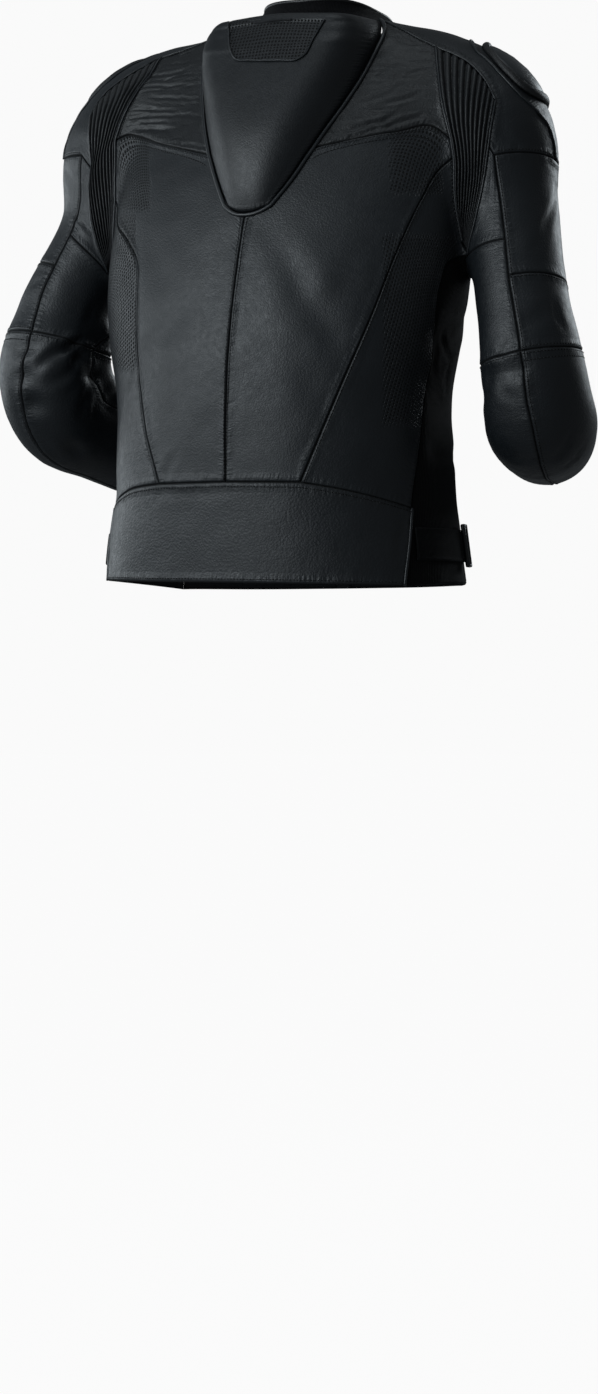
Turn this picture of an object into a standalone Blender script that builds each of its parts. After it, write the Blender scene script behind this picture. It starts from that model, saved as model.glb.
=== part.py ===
"""Leather motorcycle jacket, held in its worn shape with nobody in it.

The jacket is a thin sewn shell. Its outside is one smooth form, a body that narrows over the
shoulders to the neck, joined softly to two bent sleeves. Seams run over that form between named
corners, and every panel is the cloth between four runs of seams, given a wall and a small gap.

The tables are in millimetres and degrees. +Z is up, the front faces -Y and the wearer's left is +X.
The origin is the point inside the base of the neck by which the worn jacket is held up."""
import math

import bpy
import numpy as np
from mathutils import Matrix
from mathutils.geometry import delaunay_2d_cdt

# ---------------------------------------------------------------- driving dimensions
MM = 0.001
WALL = 2.0                # leather with its lining
SEAM_GAP = 0.3            # open distance between two panels
CELL = 22.0               # side of a facet
COLLAR_WALL = 3.0         # bound neoprene
BAND_TOP = -479.0         # height of the waistband's top seam at the centre back
HEM = -584.0
ZIP_HALF = 8.0            # half the width of the centre zip
ROUNDNESS = 2.35          # exponent of the body's oval sections

# Horizontal sections of the body, from the hem up to the collar.
# height, half width, y of the back, y of the axis, y of the front
BODY = (
    (-590, 199, 232, 95, -45),
    (-540, 193, 233, 95, -44),
    (-497, 186, 233, 95, -43),
    (-440, 184, 233, 98, -33),
    (-385, 184, 231, 98, -27),
    (-330, 195, 225, 96, -21),
    (-278, 203, 214, 92, -23),
    (-225, 206, 199, 84, -29),
    (-170, 204, 180, 70, -36),
    (-110, 198, 152, 50, -46),
    (-60, 186, 122, 30, -56),
    (-30, 174, 104, 18, -62),
    (-8, 158, 92, 10, -64),
    (8, 136, 82, 6, -66),
    (18, 110, 76, 4, -66),
    (26, 82, 70, 2, -64),
    (36, 68, 66, 0, -62),
    (60, 65, 62, -2, -60),
)

# Axis of each sleeve, from inside the shoulder round the bent elbow to the cuff: x, y, z, radius
SLEEVE = {
    "left": (
        (120, 12, -64, 50),
        (186, 22, -62, 65),
        (225, 36, -96, 65),
        (240, 52, -183, 53),
        (282, 84, -289, 52),
        (291, 93, -350, 58),
        (288, 70, -390, 58),
        (266, 30, -409, 54),
        (215, -40, -443, 47),
        (166, -110, -478, 42),
    ),
    "right": (
        (-120, 12, -84, 50),
        (-176, 22, -74, 64),
        (-214, 36, -104, 65),
        (-241, 52, -183, 53),
        (-273, 86, -289, 49),
        (-291, 97, -370, 55),
        (-291, 84, -408, 58),
        (-273, 30, -422, 56),
        (-235, -60, -424, 47),
        (-190, -140, -418, 42),
    ),
}

CREST_TURN = {"left": 78.0, "right": 118.0}     # where the shoulder's crest seam meets the sleeve's first cross seam

# Where the sleeve's cross seams lie along its axis, and where its two long seams run round it
# (0 degrees is the back of the arm and 90 its outer side). The pit lies level with the underarm.
CROSS_SEAMS = {
    "left": {"cap": 150, "pit": 246, "upper": 284, "elbow": 356},
    "right": {"cap": 160, "pit": 262, "upper": 300, "elbow": 373},
}
# share of the way along the axis, degrees round for the back seam on the left and on the right sleeve
BACK_SEAM = (
    (0.22, 33, 37),
    (0.33, 31, 34),
    (0.45, 25, 31),
    (0.53, 18, 33),
    (0.60, 26, 33),
    (0.66, 30, 42),
    (1.00, 45, 60),
)
# and for the front seam, which comes round to the inside of the elbow
FRONT_SEAM = (
    (0.22, 205, 205),
    (0.25, 207, 207),
    (0.37, 235, 240),
    (0.43, 255, 280),
    (0.53, 298, 300),
    (0.62, 290, 290),
    (1.00, 300, 300),
)

# The largest folds: start x, y, z, end x, y, z, depth, half width
FOLDS = (
    (238, 118, -330, 296, 150, -322, 5.0, 9),
    (236, 100, -352, 292, 146, -352, 6.0, 9),
    (234, 70, -376, 286, 140, -384, 5.0, 10),
    (232, 28, -402, 262, 96, -430, 4.0, 10),
    (-250, 140, -374, -300, 148, -366, 4.0, 9),
    (-240, 100, -392, -262, 128, -388, 5.0, 9),
    (-236, 40, -400, -250, 100, -412, 5.0, 10),
    (-322, 60, -300, -332, 20, -330, 3.0, 10),
    (-110, 205, -330, -60, 224, -250, 2.5, 16),
    (96, 208, -330, 66, 222, -300, 2.5, 16),
    (-205, 60, -300, -190, 120, -330, 3.0, 14),
    (-192, 20, -400, -188, 110, -440, 2.5, 14),
    (200, 20, -330, 188, 90, -360, 3.0, 14),
    (-150, -38, -330, -60, -30, -390, 3.0, 16),
    (150, -38, -320, 60, -30, -380, 3.0, 16),
    (-160, -36, -430, -50, -36, -470, 3.0, 16),
    (160, -36, -420, 50, -36, -460, 3.0, 16),
)

# Corners where seams meet, given for the left side as x, y, z. The right side mirrors them.
CORNERS = {
    "neck_back": (82, 38, 20),
    "neck_front": (78, -15, 14),
    "yoke_inner": (63, 157, -126),
    "yoke_outer": (200, 104, -119),
    "hump_low": (28, 186, -186),
    "ribs_top_inner": (165, 70, -9),
    "ribs_top_outer": (243, 88, -79),
    "princess_top": (203, 104, -138),
    "ribs_low_inner": (207, 97, -226),
    "ribs_low_outer": (217, 98, -240),
    "sleeve_back": (241, 101, -128),
    "underarm_front": (204, 12, -234),
    "sleeve_front": (214, -21, -136),
    "neck_centre": (8, -64, -12),
    "collar_top_front": (8, -62, 18),
    "cap_crest": (206, 53, -21),
    "crest_front": (172, -44, -40),
}
# Where the left side hangs differently
LEFT_CORNERS = {
    "yoke_inner": (57, 159, -126),
    "hump_low": (23, 187, -185),
    "yoke_outer": (205, 102, -96),
    "princess_top": (203, 104, -162),
    "ribs_top_inner": (171, 62, -1),
    "ribs_top_outer": (243, 90, -66),
    "sleeve_back": (234, 106, -126),
    "cap_crest": (208, 42, -6),
}
# Corners of the lower body, as the bearing from the centre back and the height on the left and right
LOW_CORNERS = {
    "princess_low": (33, -479, -481),
    "band_end": (72, -500, -507),
    "hem_back": (67, -578, -588),
    "hem_front": (116, HEM, HEM),
}
CENTRE = {
    "hump_tip": (0, 189, -195),
    "waist": (0, 233, BAND_TOP),
    "hem": (0, 232, HEM),
    "neck": (0, 66, 31),
    "collar_top": (0, 64, 46),
}

# Seams of one side: start corner, points on the way, end corner.
# Two numbers are a bearing and a height on the body, three are x, y, z.
SEAMS = {
    "hump_upper": ("neck_back", ((101, 67, 6), (98, 96, -31), (84, 126, -78)), "yoke_inner"),
    "hump_lower": ("yoke_inner", ((43, 178, -164),), "hump_low"),
    "hump_end": ("hump_low", ((19, 188, -191), (10, 189, -194)), "hump_tip"),
    "centre_back": ("hump_tip", (), "waist"),
    "yoke": ("yoke_inner", ((100, 146, -119), (145, 126, -111), (178, 106, -105)), "yoke_outer"),
    "shoulder_inner": ("neck_back", ((120, 54, 7),), "ribs_top_inner"),
    "shoulder_outer": ("ribs_top_inner", ((205, 78, -26), (230, 84, -54)), "ribs_top_outer"),
    "ribs_inner_top": ("ribs_top_inner", ((176, 87, -43), (189, 103, -82)), "yoke_outer"),
    "ribs_inner_mid": ("yoke_outer", (), "princess_top"),
    "ribs_inner_low": ("princess_top", ((204, 104, -190),), "ribs_low_inner"),
    "ribs_outer_top": ("ribs_top_outer", (), "sleeve_back"),
    "ribs_outer_low": ("sleeve_back", ((237, 103, -160), (226, 105, -212)), "ribs_low_outer"),
    "ribs_foot": ("ribs_low_inner", (), "ribs_low_outer"),
    "underarm": ("ribs_low_outer", ((214, 60, -246),), "underarm_front"),
    "armhole_front": ("underarm_front", ((206, -18, -192),), "sleeve_front"),
    "sleeve_top": ("sleeve_back", (), "cap_back"),
    "sleeve_top_front": ("cap_front", (), "sleeve_front"),
    "gusset_back": ("pit_back", (), "ribs_low_outer"),
    "gusset_front": ("pit_front", (), "underarm_front"),
    "shoulder_front_high": ("neck_front", ((130, -42, -12),), "crest_front"),
    "shoulder_front_low": ("crest_front", ((200, -40, -72),), "sleeve_front"),
    "crest_over": ("crest_front", ((176, 0, -4), (190, 35, -8)), "cap_crest"),
    "crest_down": ("cap_crest", ((224, 60, -35), (241, 66, -51), (259, 67, -69), (273, 60, -84),
                                 (283, 44, -104)), "cap_top"),
    "side_back": ("ribs_low_outer", ((81, -252), (79, -278), (81, -346), (78, -430)), "band_end"),
    "band_side": ("band_end", (), "hem_back"),
    "side_front": ("underarm_front", ((112, -310), (118, -400), (118, -500)), "hem_front"),
    "band_back": ("waist", (), "princess_low"),
    "band_outer": ("princess_low", ((50, -490), (61, -498)), "band_end"),
    "hem_band": ("hem", ((33, -586),), "hem_back"),
    "hem_side": ("hem_back", (), "hem_front"),
    "hem_front": ("hem_front", ((145, HEM),), "hem_centre"),
    "front_edge": ("hem_centre", (), "neck_centre"),
    "neck_front": ("neck_centre", ((50, -54, -2),), "neck_front"),
    "neck_side": ("neck_front", ((84, 10, 26),), "neck_back"),
    "neck_back": ("neck_back", ((50, 60, 29),), "neck"),
    "collar_edge": ("neck_centre", (), "collar_top_front"),
    "collar_top": ("collar_top_front", ((48, -44, 27), (67, 0, 38), (50, 44, 45)), "collar_top"),
}
# and the ways that differ on the left
LEFT_WAYS = {
    "hump_upper": ((101, 67, 6), (98, 96, -31), (80, 128, -78)),
    "hump_lower": ((36, 180, -163),),
    "hump_end": ((16, 188, -190.5), (8, 189, -194)),
    "crest_over": ((178, -6, 6), (192, 22, 4)),
    "crest_down": ((232, 54, -22), (256, 61, -48), (275, 60, -72)),
    "yoke": ((96, 147, -117), (136, 129, -106), (172, 108, -95), (189, 103, -91)),
    "shoulder_outer": ((188, 68, -10), (206, 73, -21), (226, 79, -37), (237, 84, -52)),
    "ribs_inner_top": ((174, 80, -23), (184, 89, -41), (195, 97, -65)),
    "band_outer": ((50, -483), (61, -491)),
    "hem_band": ((33, -582),),
}
# The long seam from the rib panel's lower end to the waistband, which hangs differently on each side
PRINCESS = {
    "left": ((72, -192), (62, -212), (53, -242), (50, -281), (47, -342), (43, -405)),
    "right": ((76, -150), (71, -183), (64, -246), (58, -304), (48, -382)),
}


# ---------------------------------------------------------------- the form of the worn jacket
def read_rows(places, values, at):
    """A smooth curve through the rows of a table, read at the given places."""
    places = np.asarray(places, float)
    values = np.asarray(values, float)
    gaps = np.diff(places)[:, None]
    slopes = np.diff(values, axis=0) / gaps
    tangents = np.empty_like(values)
    tangents[1:-1] = (slopes[:-1] * gaps[1:] + slopes[1:] * gaps[:-1]) / (gaps[1:] + gaps[:-1])
    tangents[0], tangents[-1] = slopes[0], slopes[-1]
    at = np.clip(np.asarray(at, float), places[0], places[-1])
    row = np.clip(np.searchsorted(places, at, side="right") - 1, 0, len(places) - 2)
    span = (places[row + 1] - places[row])[..., None]
    t = ((at - places[row])[..., None]) / span
    return (
        (2 * t**3 - 3 * t**2 + 1) * values[row]
        + (t**3 - 2 * t**2 + t) * span * tangents[row]
        + (3 * t**2 - 2 * t**3) * values[row + 1]
        + (t**3 - t**2) * span * tangents[row + 1]
    )


BODY_ROWS = np.array(BODY, float)


def body_section(height):
    """Half width, back, axis and front of the body at each height."""
    return read_rows(BODY_ROWS[:, 0], BODY_ROWS[:, 1:], height)


def body_level(points):
    """How far each point lies outside the body, about in millimetres."""
    width, back, axis, front = body_section(points[:, 2]).T
    spread = (body_section(points[:, 2] + 2)[:, 0] - body_section(points[:, 2] - 2)[:, 0]) / 4
    y = points[:, 1] - axis
    depth = np.where(y > 0, back - axis, axis - front)
    share = (np.abs(points[:, 0]) / width) ** ROUNDNESS + (np.abs(y) / depth) ** ROUNDNESS
    radius = np.hypot(points[:, 0], y)
    level = radius - radius / np.maximum(share ** (1 / ROUNDNESS), 1e-9)
    return level / np.sqrt(1 + 0.6 * spread**2)


class SleeveAxis:
    """The middle line of a sleeve, with the directions of its back and its outer side."""

    STEPS = 64

    def __init__(self, rows, sign):
        rows = np.array(rows, float)
        runs = np.linalg.norm(np.diff(rows[:, :3], axis=0), axis=1)
        stations = np.r_[0, np.cumsum(runs)]
        self.length = stations[-1]
        self.along = np.linspace(0, self.length, self.STEPS)
        table = read_rows(stations, rows, self.along)
        self.centre, self.radius = table[:, :3], table[:, 3]
        heading = np.gradient(self.centre, self.along, axis=0)
        heading /= np.linalg.norm(heading, axis=1)[:, None]
        back = np.array([0.0, 1.0, 0.0])
        self.back = np.empty_like(heading)
        for step, ahead in enumerate(heading):
            back = back - ahead * (back @ ahead)
            back /= np.linalg.norm(back)
            self.back[step] = back
        self.outer = sign * np.cross(heading, self.back)

    def level(self, points):
        """How far each point lies outside the sleeve."""
        start, run = self.centre[:-1], np.diff(self.centre, axis=0)
        share = ((points[:, None] - start) * run).sum(-1) / (run**2).sum(1)
        share = np.clip(share, 0, 1)
        nearest = start + share[..., None] * run
        radius = self.radius[:-1] + share * np.diff(self.radius)
        return (np.linalg.norm(points[:, None] - nearest, axis=-1) - radius).min(1)

    def ray(self, along, turn):
        """Centre and outward direction at places along the axis and turned round it."""
        along = np.asarray(along, float)
        turn = np.radians(np.asarray(turn, float))[..., None]
        centre, back, outer = (
            np.stack([np.interp(along, self.along, column) for column in table.T], -1)
            for table in (self.centre, self.back, self.outer)
        )
        direction = np.cos(turn) * back + np.sin(turn) * outer
        return centre, direction / np.linalg.norm(direction, axis=-1)[..., None]


AXES = {
    "left": SleeveAxis(SLEEVE["left"], 1),
    "right": SleeveAxis(SLEEVE["right"], -1),
}
SIGN = {"left": 1, "right": -1}


def form_level(points):
    """The whole jacket's outside: below 0 inside it, 0 on it. Sleeves join the body softly."""
    points = np.atleast_2d(np.asarray(points, float))
    level = body_level(points)
    for side, axis in AXES.items():
        near = points[:, 0] * SIGN[side] > 20
        if not near.any():
            continue
        body, sleeve = level[near], axis.level(points[near])
        blend = 22 + 34 * np.clip((points[near, 2] + 210) / 130, 0, 1)
        share = np.clip(0.5 + 0.5 * (sleeve - body) / blend, 0, 1)
        level[near] = sleeve + (body - sleeve) * share - blend * share * (1 - share)
    return level


def form_slope(points, reach=0.5):
    """Gradient of the level, which points straight out of the cloth."""
    slope = np.zeros_like(points)
    for axis in range(3):
        step = np.zeros(3)
        step[axis] = reach
        slope[:, axis] = (form_level(points + step) - form_level(points - step)) / (2 * reach)
    return slope


def settle(points, rounds=6):
    """Move points along the slope until they lie on the form."""
    points = np.array(points, float)
    for _ in range(rounds):
        slope = form_slope(points)
        square = np.maximum((slope**2).sum(1), 1e-6)
        points -= (form_level(points) / square)[:, None] * slope
    return points


def outward(points):
    slope = form_slope(points)
    return slope / np.linalg.norm(slope, axis=1)[:, None]


def folds(points):
    """Height of the large folds at each point, below 0 in their troughs."""
    height = np.zeros(len(points))
    for *ends, depth, half_width in FOLDS:
        start, end = np.array(ends[:3], float), np.array(ends[3:], float)
        run = end - start
        share = np.clip(((points - start) @ run) / (run @ run), 0, 1)
        away = np.linalg.norm(points - start - share[:, None] * run, axis=1)
        height -= depth * np.exp(-((away / half_width) ** 2))
    return height


def on_body(bearing, height):
    """The point of the form at a bearing from the centre back and a height."""
    width, back, axis, front = body_section(np.array([float(height)]))[0]
    turn = math.radians(bearing)
    across, behind = math.sin(turn), math.cos(turn)
    depth = back - axis if behind > 0 else axis - front
    reach = ((abs(across) / width) ** ROUNDNESS + (abs(behind) / depth) ** ROUNDNESS) ** (-1 / ROUNDNESS)
    return np.array([across * reach, axis + behind * reach, height])


def on_sleeve(side, along, turn):
    """Points of the form straight out from the sleeve's axis."""
    centre, direction = AXES[side].ray(along, turn)
    inside = np.zeros(len(centre))
    outside = np.full(len(centre), 95.0)
    for _ in range(18):
        middle = (inside + outside) / 2
        out = form_level(centre + direction * middle[:, None]) > 0
        outside = np.where(out, middle, outside)
        inside = np.where(out, inside, middle)
    return centre + direction * inside[:, None]


# ---------------------------------------------------------------- seams
RIBS = 10                 # ribs of each elastic panel
RIB_STEP = 5.4            # half a rib, along the shoulder seam where they start


def even_points(path, step):
    """Points at even distances along a fine path, about a step apart."""
    runs = np.linalg.norm(np.diff(path, axis=0), axis=1)
    along = np.r_[0, np.cumsum(runs)]
    count = max(1, round(along[-1] / step))
    marks = np.linspace(0, along[-1], count + 1)
    return np.stack([np.interp(marks, along, column) for column in path.T], -1)


def lay_seam(corners, start, ways, end, side, step):
    """A seam over the form from corner to corner, by way of the points between."""
    sign = SIGN[side]
    stops = [corners[start]]
    for way in ways:
        stops.append(on_body(*way) if len(way) == 2 else np.array(way, float))
        stops[-1] = stops[-1] * (sign, 1, 1)
    stops.append(corners[end])
    stops = np.array(stops)
    stops[1:-1] = settle(stops[1:-1]) if len(stops) > 2 else stops[1:-1]
    along = np.r_[0, np.cumsum(np.linalg.norm(np.diff(stops, axis=0), axis=1))]
    path = settle(read_rows(along, stops, np.linspace(0, along[-1], 61)))
    path[0], path[-1] = corners[start], corners[end]
    points = even_points(path, step)
    points[1:-1] = settle(points[1:-1]) if len(points) > 2 else points[1:-1]
    return points


def sleeve_turn(table, side, along):
    """How far round the sleeve a long seam runs, at places along it."""
    rows = np.array(table, float)
    column = 1 if side == "left" else 2
    return np.interp(np.asarray(along) / AXES[side].length, rows[:, 0], rows[:, column])


def sleeve_path(side, start, end):
    """A fine path on the sleeve between two places (along, turn), straight in those terms."""
    share = np.linspace(0, 1, 61)
    along = start[0] + (end[0] - start[0]) * share
    turn = start[1] + (end[1] - start[1]) * share
    return on_sleeve(side, along, turn)


def lay_side(side, corners, step):
    """All the corners and seams of one side of the jacket, as points on the form."""
    sign = SIGN[side]
    axis = AXES[side]
    left = side == "left"
    for name, place in (dict(CORNERS, **LEFT_CORNERS) if left else CORNERS).items():
        corners[name] = settle([np.array(place, float) * (sign, 1, 1)])[0]
    for name, (bearing, *heights) in LOW_CORNERS.items():
        corners[name] = on_body(bearing, heights[0 if left else 1]) * (sign, 1, 1)
    corners["hem_centre"] = settle([(sign * ZIP_HALF, -45, HEM)])[0]

    cross = dict(CROSS_SEAMS[side], cuff=axis.length)
    names = tuple(cross)
    back = {name: (along, float(sleeve_turn(BACK_SEAM, side, along))) for name, along in cross.items()}
    front = {name: (along, float(sleeve_turn(FRONT_SEAM, side, along))) for name, along in cross.items()}
    for name in names:
        corners[name + "_back"] = on_sleeve(side, *([value] for value in back[name]))[0]
        corners[name + "_front"] = on_sleeve(side, *([value] for value in front[name]))[0]

    cap = cross["cap"]
    corners["cap_top"] = on_sleeve(side, [cap], [CREST_TURN[side]])[0]

    seams = {}
    for name, (start, ways, end) in SEAMS.items():
        if left:
            ways = LEFT_WAYS.get(name, ways)
        seam_step = RIB_STEP if name == "shoulder_outer" else step
        seams[name] = lay_seam(corners, start, ways, end, side, seam_step)
    seams["princess"] = lay_seam(corners, "princess_top", PRINCESS[side], "princess_low", side, step)
    for upper, lower in zip(names, names[1:]):
        places = np.linspace(cross[upper], cross[lower], 61)
        for label, table in (("long_back_", BACK_SEAM), ("long_front_", FRONT_SEAM)):
            path = on_sleeve(side, places, sleeve_turn(table, side, places))
            seams[label + lower] = even_points(path, step)
    for name in names:
        under = (front[name][0], front[name][1] - 360)
        seams["outer_" + name] = even_points(sleeve_path(side, back[name], front[name]), step)
        seams["under_" + name] = even_points(sleeve_path(side, back[name], under), step)
    crest = (cap, CREST_TURN[side])
    seams["cap_behind"] = even_points(sleeve_path(side, back["cap"], crest), step)
    seams["cap_before"] = even_points(sleeve_path(side, crest, front["cap"]), step)
    return corners, seams


# ---------------------------------------------------------------- panels
def join(seams, run, side):
    """Several seams end to end. A minus sign turns one round."""
    points = []
    for name in run.split():
        key = name.lstrip("-")
        if side and key not in seams:
            key = side + ":" + key
        line = seams[key]
        if name.startswith("-"):
            line = line[::-1]
        points.extend(line if not points else line[1:])
    return np.array(points)


def shares(line):
    along = np.r_[0, np.cumsum(np.linalg.norm(np.diff(line, axis=0), axis=1))]
    return along / along[-1], along[-1]


def read_line(line, share):
    return np.stack([np.interp(share, shares(line)[0], column) for column in line.T], -1)


FEW_ROUNDS = 5            # panels relaxed less than this keep their own grid
SWAP_ROUNDS = 12


class Patch:
    """The cloth between four runs of seams. Low and high run left to right, the others upwards."""

    def __init__(self, low, right, high, left, columns=None, rows=None, relax=40):
        self.sides = low, right, high, left
        across = (shares(low)[1] + shares(high)[1]) / 2
        along = (shares(left)[1] + shares(right)[1]) / 2
        if columns is None:
            columns = np.linspace(0, 1, max(1, round(across / CELL)) + 1)[1:-1]
        if rows is None:
            rows = np.linspace(0, 1, max(1, round(along / CELL)) + 1)[1:-1]
        edge = [(share, 0.0) for share in shares(low)[0]]
        edge += [(1.0, share) for share in shares(right)[0][1:]]
        edge += [(share, 1.0) for share in shares(high)[0][-2::-1]]
        edge += [(0.0, share) for share in shares(left)[0][-2:0:-1]]
        rim = np.concatenate([low, right[1:], high[-2::-1], left[-2:0:-1]])
        self.rim_count = len(edge)
        inside = [(u, v) for v in rows for u in columns]
        self.uv = np.array(edge + inside)
        loop = [(i, (i + 1) % len(edge)) for i in range(len(edge))]
        flat = [(u * across, v * along) for u, v in self.uv]
        _, _, faces, sources, _, _ = delaunay_2d_cdt(flat, loop, [], 1, 1e-5, True)
        source = [entry[0] for entry in sources]
        self.faces = np.array([[source[i] for i in face] for face in faces])
        self.points = np.empty((len(self.uv), 3))
        self.points[: self.rim_count] = rim
        if inside:
            self.points[self.rim_count:] = settle(self.blend(self.uv[self.rim_count:]))
            self.relax(relax)
        self.face_out()
        if relax > FEW_ROUNDS:
            self.swap_diagonals()

    def blend(self, uv):
        """Points spanned between the four sides."""
        low, right, high, left = self.sides
        u, v = uv[:, 0], uv[:, 1]
        across = read_line(low, u) * (1 - v)[:, None] + read_line(high, u) * v[:, None]
        along = read_line(left, v) * (1 - u)[:, None] + read_line(right, v) * u[:, None]
        ends = (
            low[0] * ((1 - u) * (1 - v))[:, None] + low[-1] * (u * (1 - v))[:, None]
            + high[0] * ((1 - u) * v)[:, None] + high[-1] * (u * v)[:, None]
        )
        return across + along - ends

    def relax(self, rounds):
        """Even out the inner points, as cloth does, keeping them on the form."""
        links = np.concatenate([self.faces[:, [0, 1]], self.faces[:, [1, 2]], self.faces[:, [2, 0]]])
        links = np.unique(np.sort(links, axis=1), axis=0)
        links = np.concatenate([links, links[:, ::-1]])
        count = np.bincount(links[:, 0], minlength=len(self.points))[:, None]
        for step in range(rounds):
            total = np.zeros_like(self.points)
            np.add.at(total, links[:, 0], self.points[links[:, 1]])
            self.points[self.rim_count:] = (total / count)[self.rim_count:]
            if step % 5 == 4:
                self.points[self.rim_count:] = settle(self.points[self.rim_count:], 2)

    def face_out(self):
        """Turn the faces outwards and note the rim in the same sense."""
        a, b, c = (self.points[self.faces[:, i]] for i in range(3))
        facing = (np.cross(b - a, c - a) * outward((a + b + c) / 3)).sum()
        self.rim = list(range(self.rim_count))
        if facing < 0:
            self.faces = self.faces[:, ::-1]
            self.rim = self.rim[::-1]


    def swap_diagonals(self):
        """Where two facets meet, use the other diagonal if it gives fairer ones."""
        normals = outward(self.points)

        def fairness(face):
            a, b, c = self.points[list(face)]
            sides = (b - a) @ (b - a) + (c - b) @ (c - b) + (a - c) @ (a - c)
            return np.cross(b - a, c - a) @ normals[list(face)].sum(0) / sides

        faces = [tuple(face) for face in self.faces.tolist()]
        for _ in range(SWAP_ROUNDS):
            owner = {(face[i], face[(i + 1) % 3]): n for n, face in enumerate(faces) for i in range(3)}
            done = set()
            for (start, end), n in owner.items():
                other = owner.get((end, start))
                if other is None or n in done or other in done:
                    continue
                tip = sum(faces[n]) - start - end
                far = sum(faces[other]) - start - end
                if (tip, far) in owner or (far, tip) in owner:
                    continue
                swapped = (start, far, tip), (far, end, tip)
                now = min(fairness(faces[n]), fairness(faces[other]))
                if min(map(fairness, swapped)) > now + 1e-3:
                    faces[n], faces[other] = swapped
                    done |= {n, other}
            if not done:
                break
        self.faces = np.array(faces)


class Joined:
    """Patches of one piece of cloth, joined along the points they share."""

    def __init__(self, patches):
        points = np.concatenate([patch.points for patch in patches])
        starts = np.cumsum([0] + [len(patch.points) for patch in patches])
        faces = np.concatenate([patch.faces + start for patch, start in zip(patches, starts)])
        _, first, same = np.unique(points.round(3), axis=0, return_index=True, return_inverse=True)
        self.points = points[first]
        self.faces = same.ravel()[faces]
        edges = {(face[i], face[(i + 1) % 3]) for face in self.faces.tolist() for i in range(3)}
        after = {start: end for start, end in edges if (end, start) not in edges}
        self.rim = [min(after)]
        while after[self.rim[-1]] != self.rim[0]:
            self.rim.append(after[self.rim[-1]])


def draw_in(points, normals, rim, distance):
    """Move the rim of a panel inwards by half the seam gap, square to its edges."""
    moved = points.copy()
    for i, here in enumerate(rim):
        before, after = points[rim[i - 1]], points[rim[(i + 1) % len(rim)]]
        sides = []
        for edge in (points[here] - before, after - points[here]):
            across = np.cross(normals[here], edge)
            sides.append(across / np.linalg.norm(across))
        mitre = (sides[0] + sides[1]) / max(1 + sides[0] @ sides[1], 0.3)
        moved[here] = points[here] + mitre * distance
    return moved


RANK = np.array([1.0, 2.3, 5.1])      # orders points, so that neighbours split their edges alike


def wall(outer, inner, faces, rim, seam=None):
    """A closed wall between an outer and an inner layer of the same points."""
    count = len(outer)
    rank = (outer if seam is None else seam) @ RANK
    solid = [tuple(face) for face in faces]
    solid += [tuple(count + i for i in reversed(face)) for face in faces]
    for i, here in enumerate(rim):
        after = rim[(i + 1) % len(rim)]
        if rank[here] < rank[after]:
            solid += [(after, here, here + count), (after, here + count, after + count)]
        else:
            solid += [(after, here, after + count), (here, here + count, after + count)]
    return np.concatenate([outer, inner]), solid


# ---------------------------------------------------------------- Blender objects
def clear_scene():
    for item in list(bpy.data.objects):
        bpy.data.objects.remove(item, do_unlink=True)


def finish(name, colour, roughness, metallic=0.0):
    material = bpy.data.materials.new(name)
    material.use_nodes = True
    shader = material.node_tree.nodes["Principled BSDF"]
    shader.inputs["Base Color"].default_value = (*colour, 1.0)
    shader.inputs["Roughness"].default_value = roughness
    shader.inputs["Metallic"].default_value = metallic
    return material


def add_solid(name, points, faces, material, collection, sharp=50):
    mesh = bpy.data.meshes.new(name)
    mesh.from_pydata([tuple(point * MM) for point in points], [], faces)
    mesh.materials.append(material)
    mesh.shade_smooth()
    mesh.set_sharp_from_angle(angle=math.radians(sharp))
    item = bpy.data.objects.new(name, mesh)
    collection.objects.link(item)
    return item


def add_panel(name, patch, material, collection, thickness=WALL, lift=None):
    """A cloth panel: its outside with folds and ribs, and a plain inside."""
    normals = outward(patch.points)
    base = draw_in(patch.points, normals, patch.rim, SEAM_GAP / 2)
    base = base + normals * folds(base)[:, None]
    outer = base if lift is None else base + lift(patch, base)
    points, faces = wall(outer, base - normals * thickness, patch.faces, patch.rim, patch.points)
    return add_solid(name, points, faces, material, collection)


# ---------------------------------------------------------------- the hump and the rib panels
HUMP_RISE = 44.0          # how far the foam hump stands off the back
HUMP_TOP = 0.975          # share of its length where it turns in to the neck
HUMP_LEVEL = 0.8          # how flat its back is across the top, where the shoulders fall away
HUMP_COLUMNS = (0.03, 0.09, 0.18, 0.33, 0.5, 0.67, 0.82, 0.91, 0.97)
HUMP_ROWS = (0.08, 0.17, 0.27, 0.38, 0.49, 0.60, 0.71, 0.81, 0.90, HUMP_TOP)
RIB_HEIGHT = 2.0


def hump_lift(patch, base):
    """The hump swells straight back: round across, rising from the tip, closed at the neck."""
    u, v = patch.uv[:, 0], patch.uv[:, 1]
    middle = np.abs(u - 0.5) < 0.01
    order = np.argsort(v[middle])
    ridge = np.interp(v, v[middle][order], base[middle, 1][order])
    across = 1 - np.abs(2 * u - 1) ** (2.6 + 11 * v**3)
    along = (1 - (1 - v) ** 2) ** 0.8
    close = np.clip((1 - v) / (1 - HUMP_TOP), 0, 1)
    rise = HUMP_RISE * along + HUMP_LEVEL * v**2 * (ridge - base[:, 1])
    height = rise * across * close
    return np.stack([np.zeros_like(height), height, np.zeros_like(height)], -1)


def rib_lift(patch, base):
    """Rounded ribs run down the panel. They die out at the seams."""
    u, v = patch.uv[:, 0], patch.uv[:, 1]
    wave = 0.5 - 0.5 * np.cos(2 * np.pi * RIBS * u)
    ends = np.clip(np.minimum(v / 0.12, (1 - v) / 0.06), 0, 1)
    return outward(base) * (RIB_HEIGHT * wave * ends)[:, None]


# ---------------------------------------------------------------- the shoulder cup
CUP_ACROSS = (0.07, 0.81)     # share of the cap panel's width that the cup covers
CUP_ALONG = (0.39, 0.91)      # and of its length, from the sleeve up
CUP_RISE = 2.5
CUP_WALL = 3.0
CUP_SEAT = 0.7


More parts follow.
